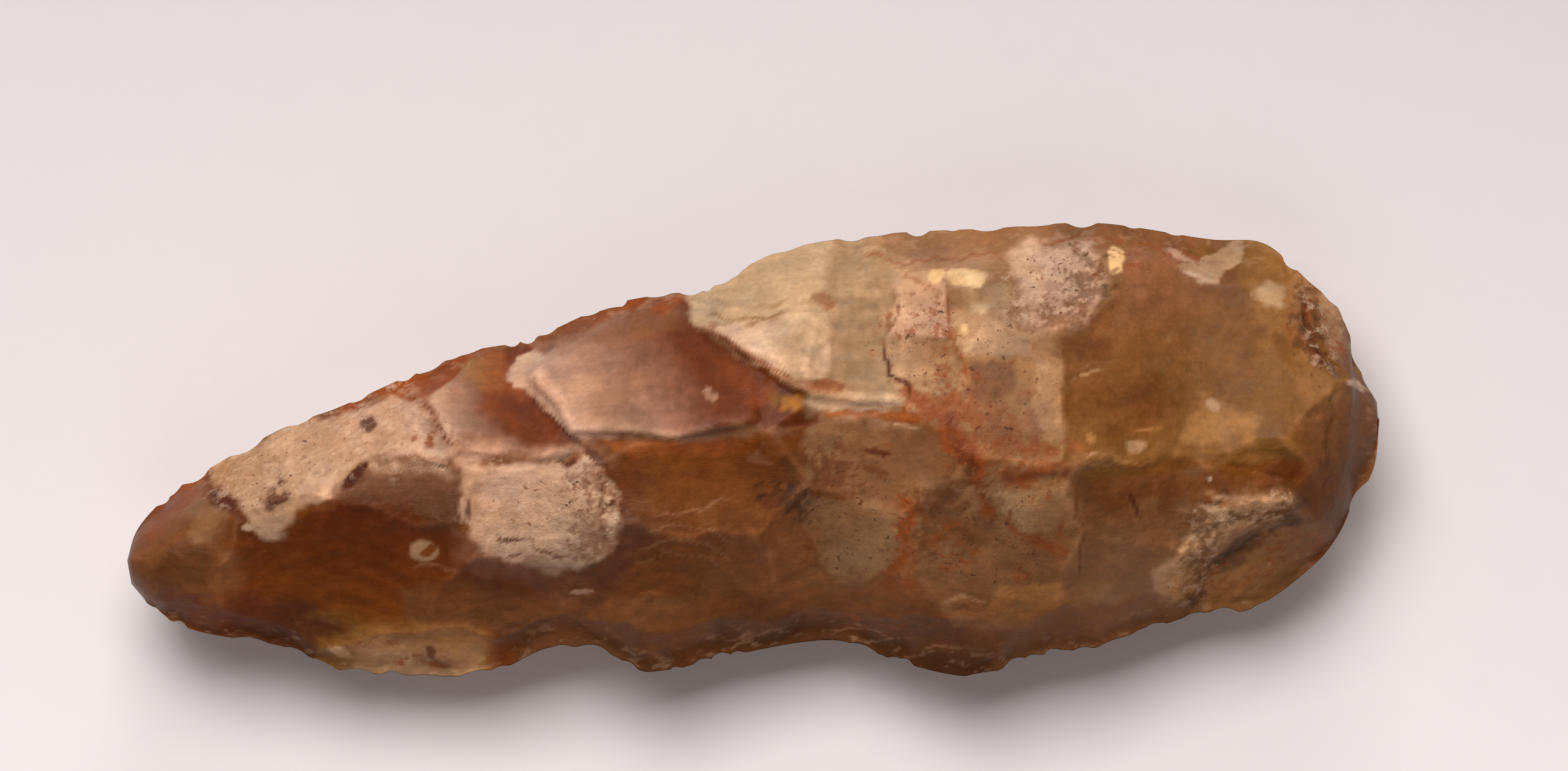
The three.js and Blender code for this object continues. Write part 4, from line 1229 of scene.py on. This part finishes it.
@dataclass
class Patina:
    """The stone's colours and surface, worked out for each point of its faces, with painted highlights on
    rims and painted shade in hollows and along the lower edge.
    """

    noise: Noise = field(default_factory=lambda: Noise(SEED + 7))
    form_noise: Noise = field(default_factory=lambda: Noise(SEED))
    drift: float = 0.35
    bands: float = 0.16
    clouds: float = 0.22
    warmth: float = 0.12
    warm_cast: tuple[float, float, float] = (0.6, 0.0, -1.0)
    # Painted highlight on proud rims: how proud a point must be, and how much lighter it is made
    rim_height: float = 0.06
    rim_highlight_gain: float = 0.30
    # Painted shade along the lower edge of the picture, near the sharp edge
    low_edge_shade: float = 0.30
    # Painted shade in hollows and at the foot of steps: how deep a hollow must be, and how much darker it is
    # made
    hollow_depth: float = 0.07
    broad_depth: float = 0.4
    hollow_shade: float = 0.15
    area_ragged: float = 0.3
    area_soft: float = 0.35
    crushed: float = 0.3
    crushed_colour: tuple[float, float, float] = (0.34, 0.22, 0.14)
    # The colour that the painted rim highlight adds
    rim_highlight_colour: tuple[float, float, float] = (0.035, 0.024, 0.016)

    def proud_height(self, z: Array, passes: int) -> Array:
        """How far each point stands proud of its surroundings, which sets where the painted rim highlights
        and the painted shade in hollows go.

        Args:
            z: Heights on the face's grid.
            passes: How many times the surroundings are smoothed.

        Returns:
            Heights, positive on rims and negative in hollows.
        """
        smooth = z
        for _ in range(passes):
            wide = np.pad(smooth, 1, mode="edge")
            smooth = (wide[:-2, 1:-1] + wide[2:, 1:-1] + wide[1:-1, :-2] + wide[1:-1, 2:] + 2 * smooth) / 6
        return z - smooth

    def painted(self, x: Array, y: Array) -> Array:
        """All the shown face's layers of colour, one over another.

        Args:
            x: Places along the stone.
            y: Places across it.

        Returns:
            The colour at each place.
        """
        tone = np.ones((*x.shape, 3)) * Tint.BROWN.linear()
        for layer in (*GROUND, *FACETS, *FRONT_PATCHES, *FRONT_STREAKS):
            cover = layer.cover(x, y, self.noise)[..., None]
            tone = tone * (1 - cover) + layer.colour(x, y) * cover
        return tone

    def front(self, x: Array, y: Array, z: Array) -> dict[str, Array]:
        """The shown face's colour, with its painted rim highlights and painted shade, and its surface masks.

        Args:
            x: Places along the stone.
            y: Places across it.
            z: Heights above the sharp edge.

        Returns:
            The colour as tone, painted highlights and shade included, and the masks crust, rust and speck.
        """
        inner = np.clip(z / 4 - 0.6, 0, 1)
        fine, broad = inner * self.proud_height(z, 8), inner * self.proud_height(z, 60)
        shake = self.form_noise(x, y, 4, 3)
        bands = sum(mark.height(x, y, shake) / mark.high for mark in (*RIPPLES, *HACKLES))
        drift_x, drift_y = self.noise(x, y, 2.6, 4), self.noise(x + 70, y + 20, 2.6, 4)
        x, y = x + self.drift * drift_x, y + self.drift * drift_y
        bands = bands * np.clip(0.5 + 1.5 * self.noise(x, y + 40, 3, 3), 0, 1)
        cloudy = self.noise(x + 11, y + 5, 4.5, 5)
        warm = self.noise(x - 60, y + 33, 3, 4)[..., None] * np.array(self.warm_cast)
        tone = self.painted(x, y) * np.exp(self.bands * bands + self.clouds * cloudy)[..., None]
        tone = tone * np.exp(self.warmth * warm)
        # Painted highlight: points that stand proud of their surroundings are made lighter, as if their rims
        # caught the light
        rim = np.clip(fine / self.rim_height, 0, 1) * np.clip(0.5 + 0.9 * self.noise(x, y, 1.2, 3), 0, 1)
        tone = tone + (self.rim_highlight_gain * tone + np.array(self.rim_highlight_colour)) * rim[..., None]
        # Painted shade: the face is darkened near the sharp edge in the lower part of the picture, where the
        # stone turns away from the light
        shaded_low_edge = np.clip(1.2 - z, 0, 1) * np.clip(-0.2 * y - 0.6, 0, 1)
        tone = tone * (1 - self.low_edge_shade * shaded_low_edge)[..., None]
        crushed = np.clip(self.noise(0.8 * x, 1.8 * y, 0.6, 3) * 5 - 1.8, 0, 1)
        crushed = crushed * np.clip(1.6 - z / 1.6, 0, 1) * (z > 0)
        tone = tone + (np.array(self.crushed_colour) - 0.3 * tone) * self.crushed * crushed[..., None]
        # Painted shade: small and broad hollows are darkened
        shaded_hollow = np.clip(-fine / self.hollow_depth, 0, 1) + 0.4 * np.clip(-broad / self.broad_depth, 0, 1)
        tone = tone * (1 - self.hollow_shade * np.clip(shaded_hollow, 0, 1.4))[..., None]
        return {"tone": tone, "crust": self.area(x, y, CRUSTED), "rust": self.area(x, y, STAINED),
                "speck": self.area(x, y, SPECKLED)}

    def area(self, x: Array, y: Array, ovals: Sequence[Oval]) -> Array:
        """A soft mask over several ovals, 1 inside them and 0 outside."""
        away = np.min([o.reach(x, y) for o in ovals], axis=0) - self.area_ragged * self.noise(x, y, 2, 4)
        return np.clip((1 - away) / self.area_soft, 0, 1)

    def back(self, x: Array, y: Array) -> dict[str, Array]:
        """The back's plainer colours and masks.

        Args:
            x: Places along the stone.
            y: Places across it.

        Returns:
            The same as for the shown face.
        """
        wide, slow = self.noise(x - 40, y + 60, 22, 3), self.noise(x + 90, y, 9, 4)
        tone = np.ones((*x.shape, 3)) * Tint.BROWN.linear()
        for tint, value, low, high in (
                (Tint.AMBER, wide, 0.0, 0.4), (Tint.GREY_OLIVE, -wide, 0.1, 0.5),
                (Tint.RED_BROWN, slow, 0.25, 0.6), (Tint.CREAM, -slow - 0.3 * wide, 0.35, 0.5)):
            part = np.clip((value - low) / (high - low), 0, 1)[..., None]
            tone = tone * (1 - part) + tint.linear() * part
        crust = np.clip((-slow - 0.35) / 0.15, 0, 1)
        return {"tone": tone, "crust": crust, "rust": np.clip((slow - 0.2) / 0.3, 0, 1), "speck": crust * 0.5}


@dataclass(frozen=True)
class Grain:
    """Noise, by one over its features' size in metres, its finer layers, their strength and its distortion.

    Where it is spread, its values from low to high run from least to most.
    """

    scale: float
    detail: float = 4.0
    rough: float = 0.55
    distortion: float = 0.0
    low: float = 0.3
    high: float = 0.7
    least: float = 0.0
    most: float = 1.0
    stretch: tuple[float, float, float] | None = None


@dataclass(frozen=True)
class Coat:
    """A colour that is mixed in where its grain lies, as strongly as given."""

    grain: Grain
    strength: float
    colour: tuple[float, float, float, float]
    blend: str = "MIX"


class Shader:
    """A node material put together in short steps."""

    def __init__(self, name: str) -> None:
        """Makes an empty material with its surface shader.

        Args:
            name: The material's name.
        """
        self.material = bpy.data.materials.new(name)
        self.material.use_nodes = True
        self.tree = self.material.node_tree
        self.surface = self.tree.nodes["Principled BSDF"]
        self.place = self.add("ShaderNodeTexCoord").outputs["Object"]

    def add(self, kind: str, sockets: dict | None = None, **settings: object) -> bpy.types.Node:
        """Adds a node.

        Args:
            kind: The node's type.
            sockets: What goes into its sockets, by name or number.
            settings: Its settings.

        Returns:
            The node.
        """
        node = self.tree.nodes.new(kind)
        for name, value in settings.items():
            setattr(node, name, value)
        for name, value in (sockets or {}).items():
            self.join(value, node.inputs[name])
        return node

    def join(self, value: object, socket: Socket) -> None:
        """Links a socket, or sets a plain value on it.

        Args:
            value: What goes in.
            socket: The socket.
        """
        if isinstance(value, bpy.types.NodeSocket):
            self.tree.links.new(value, socket)
        else:
            socket.default_value = value

    def dress(self, **sockets: object) -> bpy.types.Material:
        """Fills the surface shader's sockets.

        Args:
            sockets: What goes in, by the socket's name with _ for a space.

        Returns:
            The finished material.
        """
        for name, value in sockets.items():
            self.join(value, self.surface.inputs[name.replace("_", " ")])
        return self.material

    def noise(self, grain: Grain) -> Socket:
        """Noise from 0 to 1.

        Args:
            grain: What it is like.

        Returns:
            The noise's value.
        """
        place = self.place
        if grain.stretch is not None:
            place = self.add("ShaderNodeMapping", {"Vector": place, "Scale": grain.stretch}).outputs["Vector"]
        sockets = {"Vector": place, "Scale": grain.scale, "Detail": grain.detail, "Roughness": grain.rough,
                   "Distortion": grain.distortion}
        return self.add("ShaderNodeTexNoise", sockets).outputs["Fac"]

    def spread(self, value: Socket, grain: Grain) -> Socket:
        """A noise's values from its low to its high, spread from its least to its most."""
        return self.span(value, grain.low, grain.high, grain.least, grain.most)

    def mask(self, name: str) -> Socket:
        """A mask kept on the mesh."""
        return self.add("ShaderNodeAttribute", attribute_name=name).outputs["Fac"]

    def span(self, value: object, low: float, high: float, least: float = 0.0, most: float = 1.0) -> Socket:
        """A value moved from one range to another and held inside it."""
        sockets = dict(enumerate((value, low, high, least, most)))
        return self.add("ShaderNodeMapRange", sockets).outputs["Result"]

    def grey(self, value: Socket) -> Socket:
        """A value as a grey colour."""
        return self.add("ShaderNodeCombineColor", {0: value, 1: value, 2: value}).outputs[0]

    def sum(self, operation: str, a: object, b: object) -> Socket:
        """Two values put together by a named operation."""
        return self.add("ShaderNodeMath", {0: a, 1: b}, operation=operation).outputs[0]

    def mix(self, part: object, a: object, b: object, blend: str = "MIX") -> Socket:
        """Two colours mixed by a share.

        Args:
            part: The second colour's share.
            a: The first colour.
            b: The second colour.
            blend: How they are mixed.

        Returns:
            The mixed colour.
        """
        node = self.add("ShaderNodeMix", data_type="RGBA", blend_type=blend)
        for name, value in (("Factor_Float", part), ("A_Color", a), ("B_Color", b)):
            self.join(value, next(s for s in node.inputs if s.identifier == name))
        return next(s for s in node.outputs if s.identifier == "Result_Color")

    def times(self, colour: object, factor: object) -> Socket:
        """A colour times another."""
        return self.mix(1.0, colour, factor, "MULTIPLY")

    def coated(self, colour: Socket, coat: Coat, area: Socket) -> tuple[Socket, Socket]:
        """A colour with a coat mixed in over an area, and where the coat lies."""
        cover = self.sum("MULTIPLY", self.spread(self.noise(coat.grain), coat.grain), area)
        return self.mix(self.sum("MULTIPLY", cover, coat.strength), colour, coat.colour, coat.blend), cover

    def bump(self, height: object, strength: object, distance: float, normal: Socket | None = None) -> Socket:
        """A bumped normal.

        Args:
            height: What stands out.
            strength: How strongly.
            distance: How far, in metres.
            normal: The normal that it is laid over, if there is one.

        Returns:
            The normal.
        """
        sockets = {"Height": height, "Strength": strength, "Distance": distance}
        if normal is not None:
            sockets["Normal"] = normal
        return self.add("ShaderNodeBump", sockets).outputs["Normal"]


def rgba(tint: Tint, light: float = 1.0) -> tuple[float, float, float, float]:
    """A tint as a shader's colour."""
    r, g, b = (float(v) * light for v in tint.linear())
    return r, g, b, 1.0


@dataclass(frozen=True)
class FlintFinish:
    """Waxy translucent flint with crusted, speckled and rust-veined patches."""

    gloss: float = 0.42
    matt: float = 0.78
    mottle: Grain = Grain(260, 6, 0.62, 0, 0.34, 0.66)
    grain: Grain = Grain(1500, 3, 0.6, 0, 0.3, 0.7, 0, 0.28)
    veined: Grain = Grain(150, 4, 0.55, 0, 0.44, 0.56)
    clouds: Grain = Grain(780, 6, 0.66, 0.2, 0.32, 0.68, 0.91, 1.09)
    lines: Grain = Grain(900, 5, 0.7, 0.15, 0.3, 0.7, 0.90, 1.10, (0.16, 1.0, 1.0))
    swell: Grain = Grain(420, 6, 0.64)
    flecks: Coat = Coat(Grain(700, 5, 0.7, 0, 0.5, 0.62), 0.55, rgba(Tint.CREAM, 1.05))
    pits: Coat = Coat(Grain(1100, 4, 0.6, 0.6, 0.62, 0.68), 0.6, rgba(Tint.RUST, 0.8))
    stains: Coat = Coat(Grain(620, 8, 0.72, 0.3, 0.50, 0.57), 0.7, rgba(Tint.RUST))
    veins: Coat = Coat(Grain(900, 8, 0.75, 0.5, 0.60, 0.66), 0.6, rgba(Tint.RED_DARK))
    spots: Coat = Coat(Grain(520, 6, 0.72, 0.4, 0.57, 0.66), 0.45, (0.42, 0.34, 0.28, 1), "MULTIPLY")
    dots: Coat = Coat(Grain(1300, 2, 0.5, 0, 0.66, 0.71), 0.8, rgba(Tint.PURPLE))
    mottle_rough: tuple[float, float] = (-0.05, 0.08)
    deeper: tuple[float, float, float, float] = (0.86, 0.84, 0.80, 1)
    paler: tuple[float, float, float, float] = (1.12, 1.11, 1.09, 1)
    grain_dark: tuple[float, float, float, float] = (0.5, 0.42, 0.36, 1)
    swell_bump: tuple[float, float] = (0.30, 0.8)
    swell_high: float = 0.0007
    bumps: tuple[tuple[float, float], ...] = ((0.35, 0.0003), (0.30, 0.0003), (0.5, 0.00012), (0.4, -0.0002))
    refraction: float = 1.5
    shine: float = 0.13
    glow: float = 0.06
    glow_colour: tuple[float, float, float] = (1.0, 0.45, 0.2)
    glow_depth: float = 0.0015

    def material(self) -> bpy.types.Material:
        """The stone's material.

        Returns:
            The material.
        """
        s = Shader("flint")
        crust, rust, speck = s.mask("crust"), s.mask("rust"), s.mask("speck")
        colour = s.add("ShaderNodeAttribute", attribute_name="tone").outputs["Color"]
        grain, lines = s.noise(self.grain), s.noise(self.lines)
        mottle, clouds = (s.spread(s.noise(kind), kind) for kind in (self.mottle, self.clouds))
        colour = s.mix(mottle, s.times(colour, self.deeper), s.times(colour, self.paler))
        colour = s.mix(s.spread(grain, self.grain), colour, self.grain_dark, "MULTIPLY")
        veined = s.sum("MULTIPLY", s.spread(s.noise(self.veined), self.veined), rust)
        colour, _ = s.coated(colour, self.flecks, crust)
        colour, _ = s.coated(colour, self.pits, s.sum("MAXIMUM", crust, speck))
        colour, _ = s.coated(colour, self.stains, veined)
        colour, veins = s.coated(colour, self.veins, veined)
        colour = s.times(colour, s.grey(clouds))
        colour, _ = s.coated(colour, self.spots, speck)
        colour, dots = s.coated(colour, self.dots, speck)
        colour = s.times(colour, s.grey(s.spread(lines, self.lines)))
        rough = s.span(crust, 0.0, 1.0, self.gloss, self.matt)
        rough = s.sum("ADD", rough, s.span(mottle, 0, 1, *self.mottle_rough))
        normal = s.bump(s.noise(self.swell), s.span(crust, 0, 1, *self.swell_bump), self.swell_high)
        for height, bump in zip((clouds, lines, grain, s.sum("MAXIMUM", veins, dots)), self.bumps):
            normal = s.bump(height, *bump, normal)
        return s.dress(Base_Color=colour, Roughness=rough, Normal=normal, IOR=self.refraction,
                       Specular_IOR_Level=self.shine, Subsurface_Weight=self.glow,
                       Subsurface_Radius=self.glow_colour, Subsurface_Scale=self.glow_depth)


@dataclass(frozen=True)
class PaperFinish:
    """Smooth pale studio paper with a faint pink cast, and painted shade that makes it a little darker far up
    the picture.
    """

    colour: tuple[float, float, float] = (0.87, 0.797, 0.807)
    fibre: Grain = Grain(220, 4, 0.6)
    fibre_dark: float = 0.985
    fibre_bump: tuple[float, float] = (0.05, 0.0001)
    rough: tuple[float, float] = (0.82, 0.9)
    # Painted falloff of light across the floor: where it starts and stops, and how bright it leaves the paper
    # at each end
    places: tuple[float, float] = (-0.04, 0.055)
    light: tuple[float, float] = (1.07, 0.80)

    def material(self) -> bpy.types.Material:
        """The floor's material.

        Returns:
            The material.
        """
        s = Shader("pale paper")
        fibre = s.noise(self.fibre)
        darker = (self.fibre_dark * c for c in self.colour)
        pale = s.mix(s.spread(fibre, self.fibre), (*darker, 1), (*self.colour, 1))
        across = s.add("ShaderNodeSeparateXYZ", {0: s.place}).outputs["Y"]
        # Painted light and shade: the paper is darkened far up the picture and brightened near the bottom
        pale = s.times(pale, s.grey(s.span(across, *self.places, *self.light)))
        rough = s.span(fibre, self.fibre.low, self.fibre.high, *self.rough)
        return s.dress(Base_Color=pale, Roughness=rough, Normal=s.bump(fibre, *self.fibre_bump))


@dataclass
class AxeHead:
    """The stone: one closed mesh with its colours and masks."""

    form: StoneForm = field(default_factory=StoneForm)
    patina: Patina = field(default_factory=Patina)
    finish: FlintFinish = field(default_factory=FlintFinish)

    def build(self) -> bpy.types.Object:
        """Builds and dresses the stone.

        Returns:
            The stone, riding on the root body in place of its CAD node.
        """
        x, y, z, plain = self.form.front()
        bx, by, bz = self.form.back()
        used, faces = self.sewn(x.shape, bx.shape)
        points = np.vstack([np.stack([a.ravel() for a in face], 1) for face in ((x, y, z), (bx, by, bz))])
        mesh = bpy.data.meshes.new("flint_stone")
        mesh.from_pydata(self.settled(points[used]).tolist(), [], faces)
        self.dress(mesh, used, self.patina.front(x, y, plain), self.patina.back(bx, by))
        mesh.shade_smooth()
        mesh.materials.append(self.finish.material())
        stone = bpy.data.objects.new("flint_axe_head", mesh)
        bpy.context.collection.objects.link(stone)
        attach(stone, "root")
        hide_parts(NODE)
        log.info("axe head: %d faces, %d points", len(mesh.polygons), len(mesh.vertices))
        return stone

    def sewn(self, shown: tuple[int, int], hidden: tuple[int, int]) -> tuple[Array, list[tuple[int, ...]]]:
        """Joins the two faces along their long edges and at both tips.

        Args:
            shown: How many points the shown face has each way.
            hidden: The same for the back.

        Returns:
            Which of all the points are used, and the faces between them.
        """
        top = np.arange(math.prod(shown)).reshape(shown)
        under = top.size + np.arange(math.prod(hidden)).reshape(hidden)
        under[:, 0], under[:, -1] = top[:, 0], top[:, -1]
        for tip in (0, -1):
            under[tip] = top[tip] = top[tip, 0]
        quads = np.vstack([self.quads(top), self.quads(under)[:, ::-1]])
        used, quads = np.unique(quads, return_inverse=True)
        corners = (tuple(dict.fromkeys(quad)) for quad in quads.reshape(-1, 4).tolist())
        return used, [face for face in corners if len(face) > 2]

    def quads(self, grid: Array) -> Array:
        """The four corners of each field of a grid of points."""
        return np.stack([grid[:-1, :-1], grid[1:, :-1], grid[1:, 1:], grid[:-1, 1:]], -1).reshape(-1, 4)

    def settled(self, points: Array) -> Array:
        """The points in metres, with the stone's box in the middle of its CAD box and on the floor."""
        low, high = points.min(0), points.max(0)
        return (points - np.array([(low[0] + high[0]) / 2, (low[1] + high[1]) / 2, low[2]])) * SHARE

    def dress(self, mesh: bpy.types.Mesh, used: Array, front: dict, back: dict) -> None:
        """Keeps the colours and masks on the mesh.

        Args:
            mesh: The stone's mesh.
            used: Which of all the points it has.
            front: The shown face's colour and masks by name.
            back: The back's.
        """
        for name in front:
            values = [part[name].reshape(part["crust"].size, -1) for part in (front, back)]
            values = np.concatenate(values)[used]
            if values.shape[1] == 3:
                layer = mesh.attributes.new(name, "FLOAT_COLOR", "POINT")
                layer.data.foreach_set("color", np.hstack([values, np.ones((len(values), 1))]).ravel())
            else:
                mesh.attributes.new(name, "FLOAT", "POINT").data.foreach_set("value", values.ravel())


@dataclass
class Lamp:
    """A square soft light: where it stands from the stone's middle, in metres, and its size and power."""

    name: str
    place: tuple[float, float, float]
    size: float
    power: float
    colour: tuple[float, float, float] = (1.0, 0.985, 0.965)

    def build(self) -> bpy.types.Object:
        """Sets up the lamp, aimed at the stone.

        Returns:
            The lamp.
        """
        light = bpy.data.lights.new(self.name, "AREA")
        light.shape = "SQUARE"
        light.size = self.size
        light.energy = self.power
        light.color = self.colour
        lamp = bpy.data.objects.new(self.name, light)
        bpy.context.collection.objects.link(lamp)
        lamp.location = self.place
        lamp.rotation_euler = (-Vector(self.place)).to_track_quat("-Z", "Y").to_euler()
        log.info("lamp %s: %.1f W", self.name, self.power)
        return lamp


@dataclass
class Studio:
    """The pale floor, the soft lights and the camera straight above."""

    floor_side: float = 6.0
    frame_width: float = 125.35
    middle: Point = (2.46, 5.16)
    camera_height: float = 1.0
    edge_height: float = 0.0155
    sensor: float = 36.0
    surround: tuple[float, float, float, float] = (1.0, 0.93, 0.89, 1)
    surround_strength: float = 0.13
    paper: PaperFinish = field(default_factory=PaperFinish)
    lamps: tuple[Lamp, ...] = (
        Lamp("key", (-0.10, 0.36, 0.76), 0.46, 6.6),
        Lamp("sheen", (0.06, 0.78, 0.42), 0.30, 1.5),
        Lamp("front", (0.0, -0.75, 1.0), 0.7, 1.6),
    )

    def build(self) -> None:
        """Sets up everything round the stone."""
        self.build_floor()
        for lamp in self.lamps:
            lamp.build()
        self.build_world()
        self.build_camera()

    def build_floor(self) -> bpy.types.Object:
        """A wide flat floor under the stone.

        Returns:
            The floor.
        """
        side = self.floor_side / 2
        corners = [(-side, -side, 0), (side, -side, 0), (side, side, 0), (-side, side, 0)]
        mesh = bpy.data.meshes.new("floor")
        mesh.from_pydata(corners, [], [(0, 1, 2, 3)])
        mesh.materials.append(self.paper.material())
        floor = bpy.data.objects.new("floor", mesh)
        bpy.context.collection.objects.link(floor)
        log.info("floor: %.1f m wide", self.floor_side)
        return floor

    def build_world(self) -> None:
        """A pale surround that fills the shadows."""
        world = bpy.data.worlds.new("studio")
        world.use_nodes = True
        background = world.node_tree.nodes["Background"]
        background.inputs["Color"].default_value = self.surround
        background.inputs["Strength"].default_value = self.surround_strength
        bpy.context.scene.world = world

    def build_camera(self) -> bpy.types.Object:
        """A long lens looking straight down, framed as the photograph is.

        Returns:
            The camera.
        """
        camera = bpy.data.cameras.new("camera")
        camera.sensor_width = self.sensor
        distance = self.camera_height - self.edge_height
        camera.lens = self.sensor * distance / (self.frame_width * SHARE)
        eye = bpy.data.objects.new("camera", camera)
        bpy.context.collection.objects.link(eye)
        eye.location = (self.middle[0] * SHARE, self.middle[1] * SHARE, self.camera_height)
        bpy.context.scene.camera = eye
        bpy.context.scene.view_settings.view_transform = "Standard"
        log.info("camera: %.0f mm lens", camera.lens)
        return eye


def main() -> None:
    """Builds the stone and the studio round it."""
    logging.basicConfig(level=logging.INFO, format="%(name)s: %(message)s")
    AxeHead().build()
    Studio().build()


if __name__ == "__main__":
    main()
